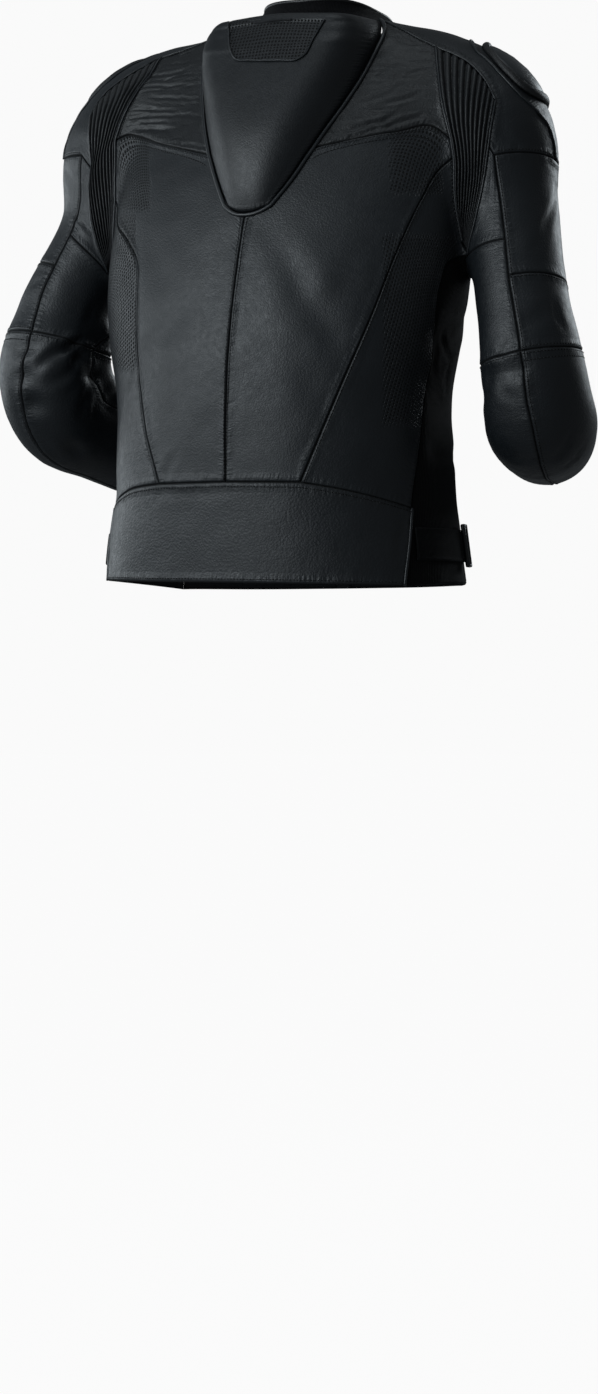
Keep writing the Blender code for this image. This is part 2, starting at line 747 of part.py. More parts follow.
def add_cup(name, patch, material, collection):
    """The moulded shoulder cup: a low dome on the shoulder panel with a rounded outline."""
    rings, spokes = 5, 22
    uv, height = [(0.5, 0.5)], [1.0]
    for ring in range(1, rings + 1):
        share = ring / rings
        for spoke in range(spokes):
            turn = 2 * math.pi * spoke / spokes
            round_off = (abs(math.cos(turn)) ** 3 + abs(math.sin(turn)) ** 3) ** (-1 / 3)
            uv.append((0.5 + 0.5 * share * round_off * math.cos(turn),
                       0.5 + 0.5 * share * round_off * math.sin(turn)))
            height.append(1 - share**3)
    uv = np.array(uv)
    uv[:, 0] = CUP_ACROSS[0] + uv[:, 0] * (CUP_ACROSS[1] - CUP_ACROSS[0])
    uv[:, 1] = CUP_ALONG[0] + uv[:, 1] * (CUP_ALONG[1] - CUP_ALONG[0])
    faces = [(0, 1 + i, 1 + (i + 1) % spokes) for i in range(spokes)]
    for ring in range(rings - 1):
        for i in range(spokes):
            a, b = 1 + ring * spokes + i, 1 + ring * spokes + (i + 1) % spokes
            faces += [(a, a + spokes, b + spokes), (a, b + spokes, b)]
    points = settle(patch.blend(uv))
    normals = outward(points)
    rise = CUP_SEAT + CUP_RISE * np.array(height)
    inner = points + normals * rise[:, None]
    outer = inner + normals * CUP_WALL
    rim = [1 + (rings - 1) * spokes + i for i in range(spokes)]
    a, b, c = (outer[[face[i] for face in faces]] for i in range(3))
    if (np.cross(b - a, c - a) * outward((a + b + c) / 3)).sum() < 0:
        faces = [face[::-1] for face in faces]
        rim = rim[::-1]
    solid_points, solid_faces = wall(outer, inner, faces, rim)
    return add_solid(name, solid_points, solid_faces, material, collection, sharp=40)


# ---------------------------------------------------------------- waist adjusters
STRAP_BEARINGS = {"left": (71.8, 96.0), "right": (71.8, 103.0)}
STRAP_HEIGHTS = (-561.0, -527.0)
STRAP_SEAT = 0.7
STRAP_WALL = 2.4
LOOP_SIZE = (13.0, 5.0, 46.0)      # along the strap, off the body, upright


def add_strap(name, side, material, collection):
    """The waist adjuster: a flat strap that lies over the stretch panel above the hem."""
    sign = SIGN[side]
    bearings = np.linspace(*STRAP_BEARINGS[side], 7)
    heights = np.linspace(*STRAP_HEIGHTS, 3)
    points = np.array([on_body(bearing, height) * (sign, 1, 1) for bearing in bearings for height in heights])
    points = settle(points)
    normals = outward(points)
    seat = points + normals * (STRAP_SEAT + folds(points))[:, None]
    columns = len(heights)
    faces = []
    for i in range(len(bearings) - 1):
        for j in range(columns - 1):
            a = i * columns + j
            faces += [(a, a + columns, a + columns + 1), (a, a + columns + 1, a + 1)]
    last = (len(bearings) - 1) * columns
    rim = [i * columns for i in range(len(bearings))]
    rim += [last + j for j in range(1, columns)]
    rim += [i * columns + columns - 1 for i in range(len(bearings) - 2, -1, -1)]
    rim += [j for j in range(columns - 2, 0, -1)]
    a, b, c = (points[[face[i] for face in faces]] for i in range(3))
    if (np.cross(b - a, c - a) * normals[[face[0] for face in faces]]).sum() < 0:
        faces = [face[::-1] for face in faces]
        rim = rim[::-1]
    solid_points, solid_faces = wall(seat + normals * STRAP_WALL, seat, faces, rim)
    return add_solid(name, solid_points, solid_faces, material, collection)


def add_block(name, size, bevel, place, axes, material, collection):
    """A rounded block with its own axes, for the hard pieces."""
    bpy.ops.mesh.primitive_cube_add(size=1)
    item = bpy.context.object
    item.name = item.data.name = name
    for other in list(item.users_collection):
        other.objects.unlink(item)
    collection.objects.link(item)
    item.data.transform(Matrix.Diagonal((*(value * MM for value in size), 1)))
    turn = Matrix([list(row) for row in np.array(axes).T]).to_4x4()
    item.matrix_world = Matrix.Translation([value * MM for value in place]) @ turn
    rounding = item.modifiers.new("rounding", "BEVEL")
    rounding.width = bevel * MM
    rounding.segments = 2
    item.data.materials.append(material)
    item.data.shade_smooth()
    item.data.set_sharp_from_angle(angle=math.radians(40))
    return item


def add_loop(name, side, material, collection):
    """The loop that the strap doubles back through, at the strap's front end."""
    height = sum(STRAP_HEIGHTS) / 2
    place = settle([on_body(STRAP_BEARINGS[side][1] - 3, height) * (SIGN[side], 1, 1)])
    out = outward(place)[0]
    up = np.array([0.0, 0.0, 1.0])
    along = np.cross(out, up)
    along /= np.linalg.norm(along)
    up = np.cross(along, out)
    stand_off = STRAP_SEAT + STRAP_WALL + 0.6 + LOOP_SIZE[1] / 2
    centre = place[0] + out * stand_off
    return add_block(name, LOOP_SIZE, 1.6, centre, (along, out, up), material, collection)


# ---------------------------------------------------------------- the zip's slider and pull tab
SLIDER_SIZE = (11.0, 4.0, 16.0)     # across, off the zip, upright
SLIDER_PLACE = (0.0, -67.9, 6.0)
EAR_SIZE = (1.4, 4.2, 4.6)
EAR_OFFSET = 3.4
PIN_RADIUS = 0.9
PIN_STAND_OFF = 2.7                 # from the slider's face to the pin's axis
PIN_HEIGHT = 4.0                    # of the pin above the slider's middle
HEAD_RADIUS = 2.2
HEAD_WIDTH = 4.6
BORE_RADIUS = 1.25
TAB_SIZE = (4.6, 2.0, 27.0)
ACROSS = ((1, 0, 0), (0, 1, 0), (0, 0, 1))


def pin_place():
    x, y, z = SLIDER_PLACE
    return x, y - SLIDER_SIZE[1] / 2 - PIN_STAND_OFF, z + PIN_HEIGHT


def add_rod(name, radius, length, place, collection, vertices=20):
    """A round bar that lies across the front."""
    bpy.ops.mesh.primitive_cylinder_add(vertices=vertices, radius=radius * MM, depth=length * MM)
    item = bpy.context.object
    item.name = item.data.name = name
    for other in list(item.users_collection):
        other.objects.unlink(item)
    collection.objects.link(item)
    item.rotation_euler = (0, math.pi / 2, 0)
    item.location = [value * MM for value in place]
    return item


def combine(item, others, operation):
    for other in others:
        step = item.modifiers.new(other.name, "BOOLEAN")
        step.operation = operation
        step.object = other
        other.hide_render = True
        other.display_type = "WIRE"


def add_slider(material, collection, cutters):
    """The slider: a rounded body with two ears and the pin that the pull tab swings on."""
    x, y, z = pin_place()
    body = add_block("zip_slider", SLIDER_SIZE, 1.0, SLIDER_PLACE, ACROSS, material, collection)
    ear_y = y + PIN_STAND_OFF - EAR_SIZE[1] / 2 + 0.4
    ears = [
        add_block("ear_" + name, EAR_SIZE, 0.4, (x + sign * EAR_OFFSET, ear_y, z), ACROSS, material, cutters)
        for name, sign in (("left", 1), ("right", -1))
    ]
    pin = add_rod("slider_pin", PIN_RADIUS, 2 * EAR_OFFSET, (x, y, z), cutters)
    combine(body, ears + [pin], "UNION")
    return body


def add_pull(material, collection, cutters):
    """The pull tab: a plate that hangs from a bored head on the slider's pin."""
    x, y, z = pin_place()
    head = add_rod("zip_pull", HEAD_RADIUS, HEAD_WIDTH, (x, y, z), collection, 28)
    head.data.materials.append(material)
    tab = add_block("tab", TAB_SIZE, 0.6, (x, y, z - TAB_SIZE[2] / 2 - PIN_RADIUS), ACROSS, material, cutters)
    bore = add_rod("bore", BORE_RADIUS, 2 * HEAD_WIDTH, (x, y, z), cutters, 28)
    combine(head, [tab], "UNION")
    combine(head, [bore], "DIFFERENCE")
    return head


# ---------------------------------------------------------------- the whole jacket
# Panels of one side: low, right, high and left runs of seams. Low and high run the same way.
PANELS = {
    "centre_back": (
        "band_back", "-princess", "-hump_end -hump_lower yoke ribs_inner_mid", "-centre_back"),
    "side_back": ("band_outer", "-side_back", "ribs_inner_low ribs_foot", "-princess"),
    "yoke": ("yoke", "-ribs_inner_top", "shoulder_inner", "-hump_upper"),
    "side_stretch": ("hem_side", "-side_front", "underarm", "-band_side -side_back"),
    "front": (
        "-hem_front", "-side_front armhole_front", "neck_front shoulder_front_high shoulder_front_low",
        "front_edge"),
    "sleeve_upper": (
        "outer_upper", "-long_front_upper -long_front_pit", "cap_behind cap_before",
        "-long_back_upper -long_back_pit"),
    "sleeve_middle": ("outer_elbow", "-long_front_elbow", "outer_upper", "-long_back_elbow"),
    "sleeve_lower": ("outer_cuff", "-long_front_cuff", "outer_elbow", "-long_back_cuff"),
    "sleeve_under_lower": ("under_cuff", "-long_front_cuff", "under_elbow", "-long_back_cuff"),
}
# The upper under-sleeve is cut in one, from the underarm down and up either side of the armhole.
UNDER_SLEEVE = (
    ("under_elbow", "-long_front_elbow -long_front_upper", "gusset_back underarm -gusset_front",
     "-long_back_elbow -long_back_upper"),
    ("gusset_back", "-ribs_outer_low", "-sleeve_top", "-long_back_pit"),
    ("-gusset_front", "-long_front_pit", "-sleeve_top_front", "armhole_front"),
)
SHOULDER = (
    "sleeve_top cap_behind", "-crest_down -crest_over", "-neck_side shoulder_front_high",
    "-ribs_outer_top -shoulder_outer -shoulder_inner")
SHOULDER_CAP = (
    "cap_before", "sleeve_top_front -shoulder_front_low", "-crest_over", "-crest_down")
RIB_PANEL = (
    "ribs_foot", "-ribs_outer_low -ribs_outer_top", "shoulder_outer",
    "-ribs_inner_low -ribs_inner_mid -ribs_inner_top")
HUMP = (
    "right:hump_end -left:hump_end", "-left:hump_lower -left:hump_upper",
    "right:neck_back -left:neck_back", "-right:hump_lower -right:hump_upper")
WAISTBAND = (
    "-right:hem_band left:hem_band", "-left:band_side",
    "-right:band_outer -right:band_back left:band_back left:band_outer", "-right:band_side")
COLLAR = (
    "left:neck_front left:neck_side left:neck_back -right:neck_back -right:neck_side -right:neck_front",
    "right:collar_edge", "left:collar_top -right:collar_top", "left:collar_edge")
ZIP = (
    "zip_low", "left:front_edge left:collar_edge", "zip_top", "right:front_edge right:collar_edge")


def build():
    clear_scene()
    jacket = bpy.data.collections.new("motorcycle_jacket")
    cutters = bpy.data.collections.new("cutters")
    bpy.context.scene.collection.children.link(jacket)
    bpy.context.scene.collection.children.link(cutters)
    leather = finish("leather", (0.022, 0.025, 0.028), 0.42)
    soft = finish("soft_leather", (0.018, 0.020, 0.023), 0.5)
    stretch = finish("stretch_fabric", (0.006, 0.006, 0.007), 0.85)
    textile = finish("collar_textile", (0.006, 0.006, 0.007), 0.8)
    plastic = finish("moulded_plastic", (0.02, 0.02, 0.022), 0.35)
    metal = finish("dark_metal", (0.1, 0.1, 0.11), 0.3, 1.0)
    cloth = {"yoke": soft, "side_stretch": stretch}

    centre = {name: settle([place])[0] for name, place in CENTRE.items()}
    ends = {}
    seams = {}
    for side in SIGN:
        ends[side], side_seams = lay_side(side, dict(centre), CELL)
        seams.update({side + ":" + name: line for name, line in side_seams.items()})
    seams["zip_low"] = np.array([ends[side]["hem_centre"] for side in ("right", "left")])
    seams["zip_top"] = np.array([ends[side]["collar_top_front"] for side in ("right", "left")])

    for side in SIGN:
        def patch(runs, **options):
            return Patch(*(join(seams, run, side) for run in runs), **options)

        for name, runs in PANELS.items():
            add_panel(name + "_" + side, patch(runs), cloth.get(name, leather), jacket)
        under = Joined([patch(runs) for runs in UNDER_SLEEVE])
        add_panel("sleeve_under_upper_" + side, under, leather, jacket)
        columns = np.linspace(0, 1, 2 * RIBS + 1)[1:-1]
        ribs = patch(RIB_PANEL, columns=columns, relax=2)
        add_panel("rib_panel_" + side, ribs, soft, jacket, lift=rib_lift)
        add_panel("shoulder_" + side, patch(SHOULDER, relax=10), leather, jacket)
        cap = patch(SHOULDER_CAP, relax=10)
        add_panel("shoulder_cap_" + side, cap, leather, jacket)
        add_cup("shoulder_cup_" + side, cap, plastic, jacket)
        add_strap("adjuster_strap_" + side, side, stretch, jacket)
        add_loop("adjuster_loop_" + side, side, plastic, jacket)

    def shared_patch(runs, **options):
        return Patch(*(join(seams, run, "") for run in runs), **options)

    add_panel("hump", shared_patch(HUMP, columns=HUMP_COLUMNS, rows=HUMP_ROWS, relax=0), leather, jacket, lift=hump_lift)
    add_panel("waistband_back", shared_patch(WAISTBAND), leather, jacket)
    add_panel("collar", shared_patch(COLLAR), textile, jacket, thickness=COLLAR_WALL)
    add_panel("zip", shared_patch(ZIP), metal, jacket)
    add_slider(metal, jacket, cutters)
    add_pull(metal, jacket, cutters)


build()
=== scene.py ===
import math

import bpy
import numpy as np
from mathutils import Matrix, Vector
from mathutils.bvhtree import BVHTree


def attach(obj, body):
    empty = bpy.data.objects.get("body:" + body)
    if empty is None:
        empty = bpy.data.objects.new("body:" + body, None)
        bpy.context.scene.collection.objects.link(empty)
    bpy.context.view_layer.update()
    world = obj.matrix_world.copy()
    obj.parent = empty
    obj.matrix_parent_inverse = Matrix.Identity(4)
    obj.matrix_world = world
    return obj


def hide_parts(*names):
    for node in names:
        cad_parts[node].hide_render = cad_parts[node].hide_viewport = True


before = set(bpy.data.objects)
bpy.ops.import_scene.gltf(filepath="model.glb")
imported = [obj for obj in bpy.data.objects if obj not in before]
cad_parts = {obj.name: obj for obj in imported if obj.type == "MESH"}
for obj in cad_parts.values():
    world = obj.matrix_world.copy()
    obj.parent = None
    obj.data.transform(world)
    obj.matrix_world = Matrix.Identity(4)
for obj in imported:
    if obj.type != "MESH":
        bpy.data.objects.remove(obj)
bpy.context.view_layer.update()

bpy.ops.object.select_all(action="DESELECT")

# ==== Leather panels of the back, fronts and sleeves ====
# Black cowhide about 1.3 mm thick, cut flat in panels and sewn edge to edge over a wearer's shape.
# Every seam is turned in and most are topstitched, so the leather dips at the seam, swells beside
# it and puckers at the thread. All sizes here are in millimetres, and made metres in the mesh.
MM = 0.001
# The body's level sections are superellipses of this power, which are squarer than an ellipse.
ROUNDNESS = 2.35
# height, half width, y of the back, y of the axis, y of the front
BODY = (
    (-590, 199, 232, 95, -45),
    (-540, 193, 233, 95, -44),
    (-497, 186, 233, 95, -43),
    (-440, 184, 233, 98, -33),
    (-385, 184, 231, 98, -27),
    (-330, 195, 225, 96, -21),
    (-278, 203, 214, 92, -23),
    (-225, 206, 199, 84, -29),
    (-170, 204, 180, 70, -36),
    (-110, 198, 152, 50, -46),
    (-60, 186, 122, 30, -56),
    (-30, 174, 104, 18, -62),
    (-8, 158, 92, 10, -64),
    (8, 136, 82, 6, -66),
    (18, 110, 76, 4, -66),
    (26, 82, 70, 2, -64),
    (36, 68, 66, 0, -62),
    (60, 65, 62, -2, -60),
)
# axis of each sleeve from the shoulder to the cuff: x, y, z, radius
SLEEVE = {
    "left": (
        (120, 12, -64, 50), (186, 22, -62, 65), (225, 36, -96, 65), (240, 52, -183, 53),
        (282, 84, -289, 52), (291, 93, -350, 58), (288, 70, -390, 58), (266, 30, -409, 54),
        (215, -40, -443, 47), (166, -110, -478, 42),
    ),
    "right": (
        (-120, 12, -84, 50), (-176, 22, -74, 64), (-214, 36, -104, 65), (-241, 52, -183, 53),
        (-273, 86, -289, 49), (-291, 97, -370, 55), (-291, 84, -408, 58), (-273, 30, -422, 56),
        (-235, -60, -424, 47), (-190, -140, -418, 42),
    ),
}
SIGN = {"left": 1, "right": -1}
# Sleeve and body run into each other over this many mm, and more high up at the shoulder
JOIN_LOW, JOIN_HIGH, JOIN_FROM, JOIN_OVER = 22, 34, 210, 130


def read_rows(places, values, at):
    """A smooth curve through the rows of a table, read at the given places."""
    places, values = np.asarray(places, float), np.asarray(values, float)
    gaps = np.diff(places)[:, None]
    slopes = np.diff(values, axis=0) / gaps
    tangents = np.empty_like(values)
    tangents[1:-1] = (slopes[:-1] * gaps[1:] + slopes[1:] * gaps[:-1]) / (gaps[1:] + gaps[:-1])
    tangents[0], tangents[-1] = slopes[0], slopes[-1]
    at = np.clip(np.asarray(at, float), places[0], places[-1])
    row = np.clip(np.searchsorted(places, at, side="right") - 1, 0, len(places) - 2)
    span = (places[row + 1] - places[row])[..., None]
    t = ((at - places[row])[..., None]) / span
    return (
        (2 * t**3 - 3 * t**2 + 1) * values[row] + (t**3 - 2 * t**2 + t) * span * tangents[row]
        + (3 * t**2 - 2 * t**3) * values[row + 1] + (t**3 - t**2) * span * tangents[row + 1]
    )


BODY_ROWS = np.array(BODY, float)


def body_section(height):
    return read_rows(BODY_ROWS[:, 0], BODY_ROWS[:, 1:], height)


def body_level(points):
    """How far each point lies outside the body."""
    width, back, axis, front = body_section(points[:, 2]).T
    spread = (body_section(points[:, 2] + 2)[:, 0] - body_section(points[:, 2] - 2)[:, 0]) / 4
    y = points[:, 1] - axis
    depth = np.where(y > 0, back - axis, axis - front)
    share = (np.abs(points[:, 0]) / width) ** ROUNDNESS + (np.abs(y) / depth) ** ROUNDNESS
    radius = np.hypot(points[:, 0], y)
    level = radius - radius / np.maximum(share ** (1 / ROUNDNESS), 1e-9)
    return level / np.sqrt(1 + 0.6 * spread**2)


class SleeveAxis:
    """The middle line of a sleeve, with the directions of its back and its outer side."""

    STEPS = 64

    def __init__(self, rows, sign):
        rows = np.array(rows, float)
        runs = np.linalg.norm(np.diff(rows[:, :3], axis=0), axis=1)
        stations = np.r_[0, np.cumsum(runs)]
        self.length = stations[-1]
        self.along = np.linspace(0, self.length, self.STEPS)
        table = read_rows(stations, rows, self.along)
        self.centre, self.radius = table[:, :3], table[:, 3]
        heading = np.gradient(self.centre, self.along, axis=0)
        heading /= np.linalg.norm(heading, axis=1)[:, None]
        back = np.array([0.0, 1.0, 0.0])
        self.back = np.empty_like(heading)
        for step, ahead in enumerate(heading):
            back = back - ahead * (back @ ahead)
            back /= np.linalg.norm(back)
            self.back[step] = back
        self.outer = sign * np.cross(heading, self.back)

    def level(self, points):
        """How far each point lies outside the sleeve."""
        square = (points**2).sum(1)[:, None] - 2 * points @ self.centre.T + (self.centre**2).sum(1)
        nearest = np.argmin(np.sqrt(np.maximum(square, 0)) - self.radius, axis=1)
        level = np.full(len(points), np.inf)
        for first in (nearest - 1, nearest):
            first = np.clip(first, 0, self.STEPS - 2)
            start, run = self.centre[first], self.centre[first + 1] - self.centre[first]
            share = np.clip(((points - start) * run).sum(1) / (run**2).sum(1), 0, 1)
            away = np.linalg.norm(points - start - share[:, None] * run, axis=1)
            radius = self.radius[first] + share * (self.radius[first + 1] - self.radius[first])
            level = np.minimum(level, away - radius)
        return level

    def ray(self, along, turn):
        along, turn = np.asarray(along, float), np.radians(np.asarray(turn, float))[..., None]
        centre, back, outer = (
            np.stack([np.interp(along, self.along, column) for column in table.T], -1)
            for table in (self.centre, self.back, self.outer)
        )
        direction = np.cos(turn) * back + np.sin(turn) * outer
        return centre, direction / np.linalg.norm(direction, axis=-1)[..., None]


AXES = {side: SleeveAxis(SLEEVE[side], SIGN[side]) for side in SIGN}


def form_level(points):
    """The whole jacket's outside: below 0 inside it, 0 on it. Sleeves join the body softly."""
    level = body_level(points)
    for side, axis in AXES.items():
        near = points[:, 0] * SIGN[side] > 20
        if near.any():
            body, sleeve = level[near], axis.level(points[near])
            blend = JOIN_LOW + JOIN_HIGH * np.clip((points[near, 2] + JOIN_FROM) / JOIN_OVER, 0, 1)
            share = np.clip(0.5 + 0.5 * (sleeve - body) / blend, 0, 1)
            level[near] = sleeve + (body - sleeve) * share - blend * share * (1 - share)
    return level


def form_slope(points, reach=0.5):
    """Gradient of the level, which points straight out of the leather."""
    ways = np.eye(3) * reach
    return np.stack([form_level(points + way) - form_level(points - way) for way in ways], -1) / (2 * reach)


def settle(points, rounds=6):
    """Move points along the slope until they lie on the form."""
    points = np.array(points, float)
    for _ in range(rounds):
        slope = form_slope(points)
        points -= (form_level(points) / np.maximum((slope**2).sum(1), 1e-6))[:, None] * slope
    return points


def outward(points):
    slope = form_slope(points)
    return slope / np.linalg.norm(slope, axis=1)[:, None]


def on_body(bearing, height):
    """The point of the body at a bearing from the centre back and a height."""
    width, back, axis, front = body_section(np.array([float(height)]))[0]
    across, behind = math.sin(math.radians(bearing)), math.cos(math.radians(bearing))
    depth = back - axis if behind > 0 else axis - front
    reach = ((abs(across) / width) ** ROUNDNESS + (abs(behind) / depth) ** ROUNDNESS) ** (-1 / ROUNDNESS)
    return np.array([across * reach, axis + behind * reach, height])


def on_sleeve(side, along, turn):
    """Points of the form straight out from the sleeve's axis."""
    centre, direction = AXES[side].ray(along, turn)
    inside, outside = np.zeros(len(centre)), np.full(len(centre), 95.0)
    for _ in range(18):
        middle = (inside + outside) / 2
        out = form_level(centre + direction * middle[:, None]) > 0
        outside, inside = np.where(out, middle, outside), np.where(out, inside, middle)
    return centre + direction * inside[:, None]


# Corners where seams meet, for the left side as x, y, z. The right side mirrors them.
HEM = -584.0
CORNERS = {
    "neck_back": (82, 38, 20), "neck_front": (78, -15, 14), "yoke_inner": (63, 157, -126),
    "yoke_outer": (200, 104, -119), "hump_low": (28, 186, -186), "ribs_top_inner": (165, 70, -9),
    "ribs_top_outer": (243, 88, -79), "princess_top": (203, 104, -138),
    "ribs_low_inner": (207, 97, -226), "ribs_low_outer": (217, 98, -240),
    "sleeve_back": (241, 101, -128), "underarm_front": (204, 12, -234),
    "sleeve_front": (214, -21, -136), "neck_centre": (8, -64, -12),
    "collar_top_front": (8, -62, 18), "cap_crest": (206, 53, -21), "crest_front": (172, -44, -40),
}
LEFT_CORNERS = {
    "yoke_inner": (57, 159, -126), "hump_low": (23, 187, -185),
    "yoke_outer": (205, 102, -96), "princess_top": (203, 104, -162), "ribs_top_inner": (171, 62, -1),
    "ribs_top_outer": (243, 90, -66), "sleeve_back": (234, 106, -126), "cap_crest": (208, 42, -6),
}
# and corners of the lower body as bearing from the centre back, height on the left, on the right
LOW_CORNERS = {
    "princess_low": (33, -479, -481), "band_end": (72, -500, -507),
    "hem_back": (67, -578, -588), "hem_front": (116, HEM, HEM),
}
CENTRE = {
    "hump_tip": (0, 189, -195), "waist": (0, 233, -479), "hem": (0, 232, HEM),
    "neck": (0, 66, 31), "collar_top": (0, 64, 46),
}
# Seams of one side: start corner, points on the way, end corner. Two numbers are bearing, height.
SEAMS = {
    "hump_upper": ("neck_back", ((101, 67, 6), (98, 96, -31), (84, 126, -78)), "yoke_inner"),
    "hump_lower": ("yoke_inner", ((43, 178, -164),), "hump_low"),
    "hump_end": ("hump_low", ((19, 188, -191), (10, 189, -194)), "hump_tip"),
    "centre_back": ("hump_tip", (), "waist"),
    "yoke": ("yoke_inner", ((100, 146, -119), (145, 126, -111), (178, 106, -105)), "yoke_outer"),
    "shoulder_inner": ("neck_back", ((120, 54, 7),), "ribs_top_inner"),
    "shoulder_outer": ("ribs_top_inner", ((205, 78, -26), (230, 84, -54)), "ribs_top_outer"),
    "ribs_inner_top": ("ribs_top_inner", ((176, 87, -43), (189, 103, -82)), "yoke_outer"),
    "ribs_inner_mid": ("yoke_outer", (), "princess_top"),
    "ribs_inner_low": ("princess_top", ((204, 104, -190),), "ribs_low_inner"),
    "ribs_outer_top": ("ribs_top_outer", (), "sleeve_back"),
    "ribs_outer_low": ("sleeve_back", ((237, 103, -160), (226, 105, -212)), "ribs_low_outer"),
    "ribs_foot": ("ribs_low_inner", (), "ribs_low_outer"),
    "underarm": ("ribs_low_outer", ((214, 60, -246),), "underarm_front"),
    "armhole_front": ("underarm_front", ((206, -18, -192),), "sleeve_front"),
    "sleeve_top": ("sleeve_back", (), "cap_back"),
    "sleeve_top_front": ("cap_front", (), "sleeve_front"),
    "gusset_back": ("pit_back", (), "ribs_low_outer"),
    "gusset_front": ("pit_front", (), "underarm_front"),
    "shoulder_front_high": ("neck_front", ((130, -42, -12),), "crest_front"),
    "shoulder_front_low": ("crest_front", ((200, -40, -72),), "sleeve_front"),
    "crest_over": ("crest_front", ((176, 0, -4), (190, 35, -8)), "cap_crest"),
    "crest_down": ("cap_crest", ((224, 60, -35), (241, 66, -51), (259, 67, -69), (273, 60, -84),
                                 (283, 44, -104)), "cap_top"),
    "side_back": ("ribs_low_outer", ((81, -252), (79, -278), (81, -346), (78, -430)), "band_end"),
    "band_side": ("band_end", (), "hem_back"),
    "side_front": ("underarm_front", ((112, -310), (118, -400), (118, -500)), "hem_front"),
    "band_back": ("waist", (), "princess_low"),
    "band_outer": ("princess_low", ((50, -490), (61, -498)), "band_end"),
    "hem_band": ("hem", ((33, -586),), "hem_back"),
    "hem_side": ("hem_back", (), "hem_front"),
    "hem_front": ("hem_front", ((145, HEM),), "hem_centre"),
    "front_edge": ("hem_centre", (), "neck_centre"),
    "neck_front": ("neck_centre", ((50, -54, -2),), "neck_front"),
    "neck_side": ("neck_front", ((84, 10, 26),), "neck_back"),
    "neck_back": ("neck_back", ((50, 60, 29),), "neck"),
    "collar_edge": ("neck_centre", (), "collar_top_front"),
    "collar_top": ("collar_top_front", ((48, -44, 27), (67, 0, 38), (50, 44, 45)), "collar_top"),
}
# Seams that run another way on the left, as the jacket hangs unevenly
LEFT_WAYS = {
    "hump_upper": ((101, 67, 6), (98, 96, -31), (80, 128, -78)),
    "hump_lower": ((36, 180, -163),),
    "hump_end": ((16, 188, -190.5), (8, 189, -194)),
    "crest_over": ((178, -6, 6), (192, 22, 4)),
    "crest_down": ((232, 54, -22), (256, 61, -48), (275, 60, -72)),
    "yoke": ((96, 147, -117), (136, 129, -106), (172, 108, -95), (189, 103, -91)),
    "shoulder_outer": ((188, 68, -10), (206, 73, -21), (226, 79, -37), (237, 84, -52)),
    "ribs_inner_top": ((174, 80, -23), (184, 89, -41), (195, 97, -65)),
    "band_outer": ((50, -483), (61, -491)),
    "hem_band": ((33, -582),),
}
# The long seam of the back from the ribs to the waistband: bearing, height
PRINCESS = {
    "left": ((72, -192), (62, -212), (53, -242), (50, -281), (47, -342), (43, -405)),
    "right": ((76, -150), (71, -183), (64, -246), (58, -304), (48, -382)),
}
# Where the sleeves' cross seams lie along their axes, in mm, and how many degrees round from the
# back the shoulder's crest seam meets the first of them
CROSS_SEAMS = {
    "left": {"cap": 150, "pit": 246, "upper": 284, "elbow": 356},
    "right": {"cap": 160, "pit": 262, "upper": 300, "elbow": 373},
}
CREST_TURN = {"left": 78.0, "right": 118.0}
# The sleeves' two long seams: share of the length, degrees round on the left and on the right
BACK_SEAM = ((0.22, 33, 37), (0.33, 31, 34), (0.45, 25, 31), (0.53, 18, 33), (0.60, 26, 33),
             (0.66, 30, 42), (1.00, 45, 60))
FRONT_SEAM = ((0.22, 205, 205), (0.25, 207, 207), (0.37, 235, 240), (0.43, 255, 280),
              (0.53, 298, 300), (0.62, 290, 290), (1.00, 300, 300))


def span_of(path):
    return np.r_[0, np.cumsum(np.linalg.norm(np.diff(path, axis=0), axis=1))]


def even_points(path, count):
    """The given number of even steps along a path."""
    along = span_of(path)
    marks = np.linspace(0, along[-1], count + 1)
    return np.stack([np.interp(marks, along, column) for column in path.T], -1)


def sleeve_turn(table, side, along):
    rows = np.array(table, float)
    return np.interp(np.asarray(along) / AXES[side].length, rows[:, 0], rows[:, 1 if side == "left" else 2])


def sleeve_path(side, start, end):
    return on_sleeve(side, *(np.linspace(a, b, 81) for a, b in zip(start, end)))


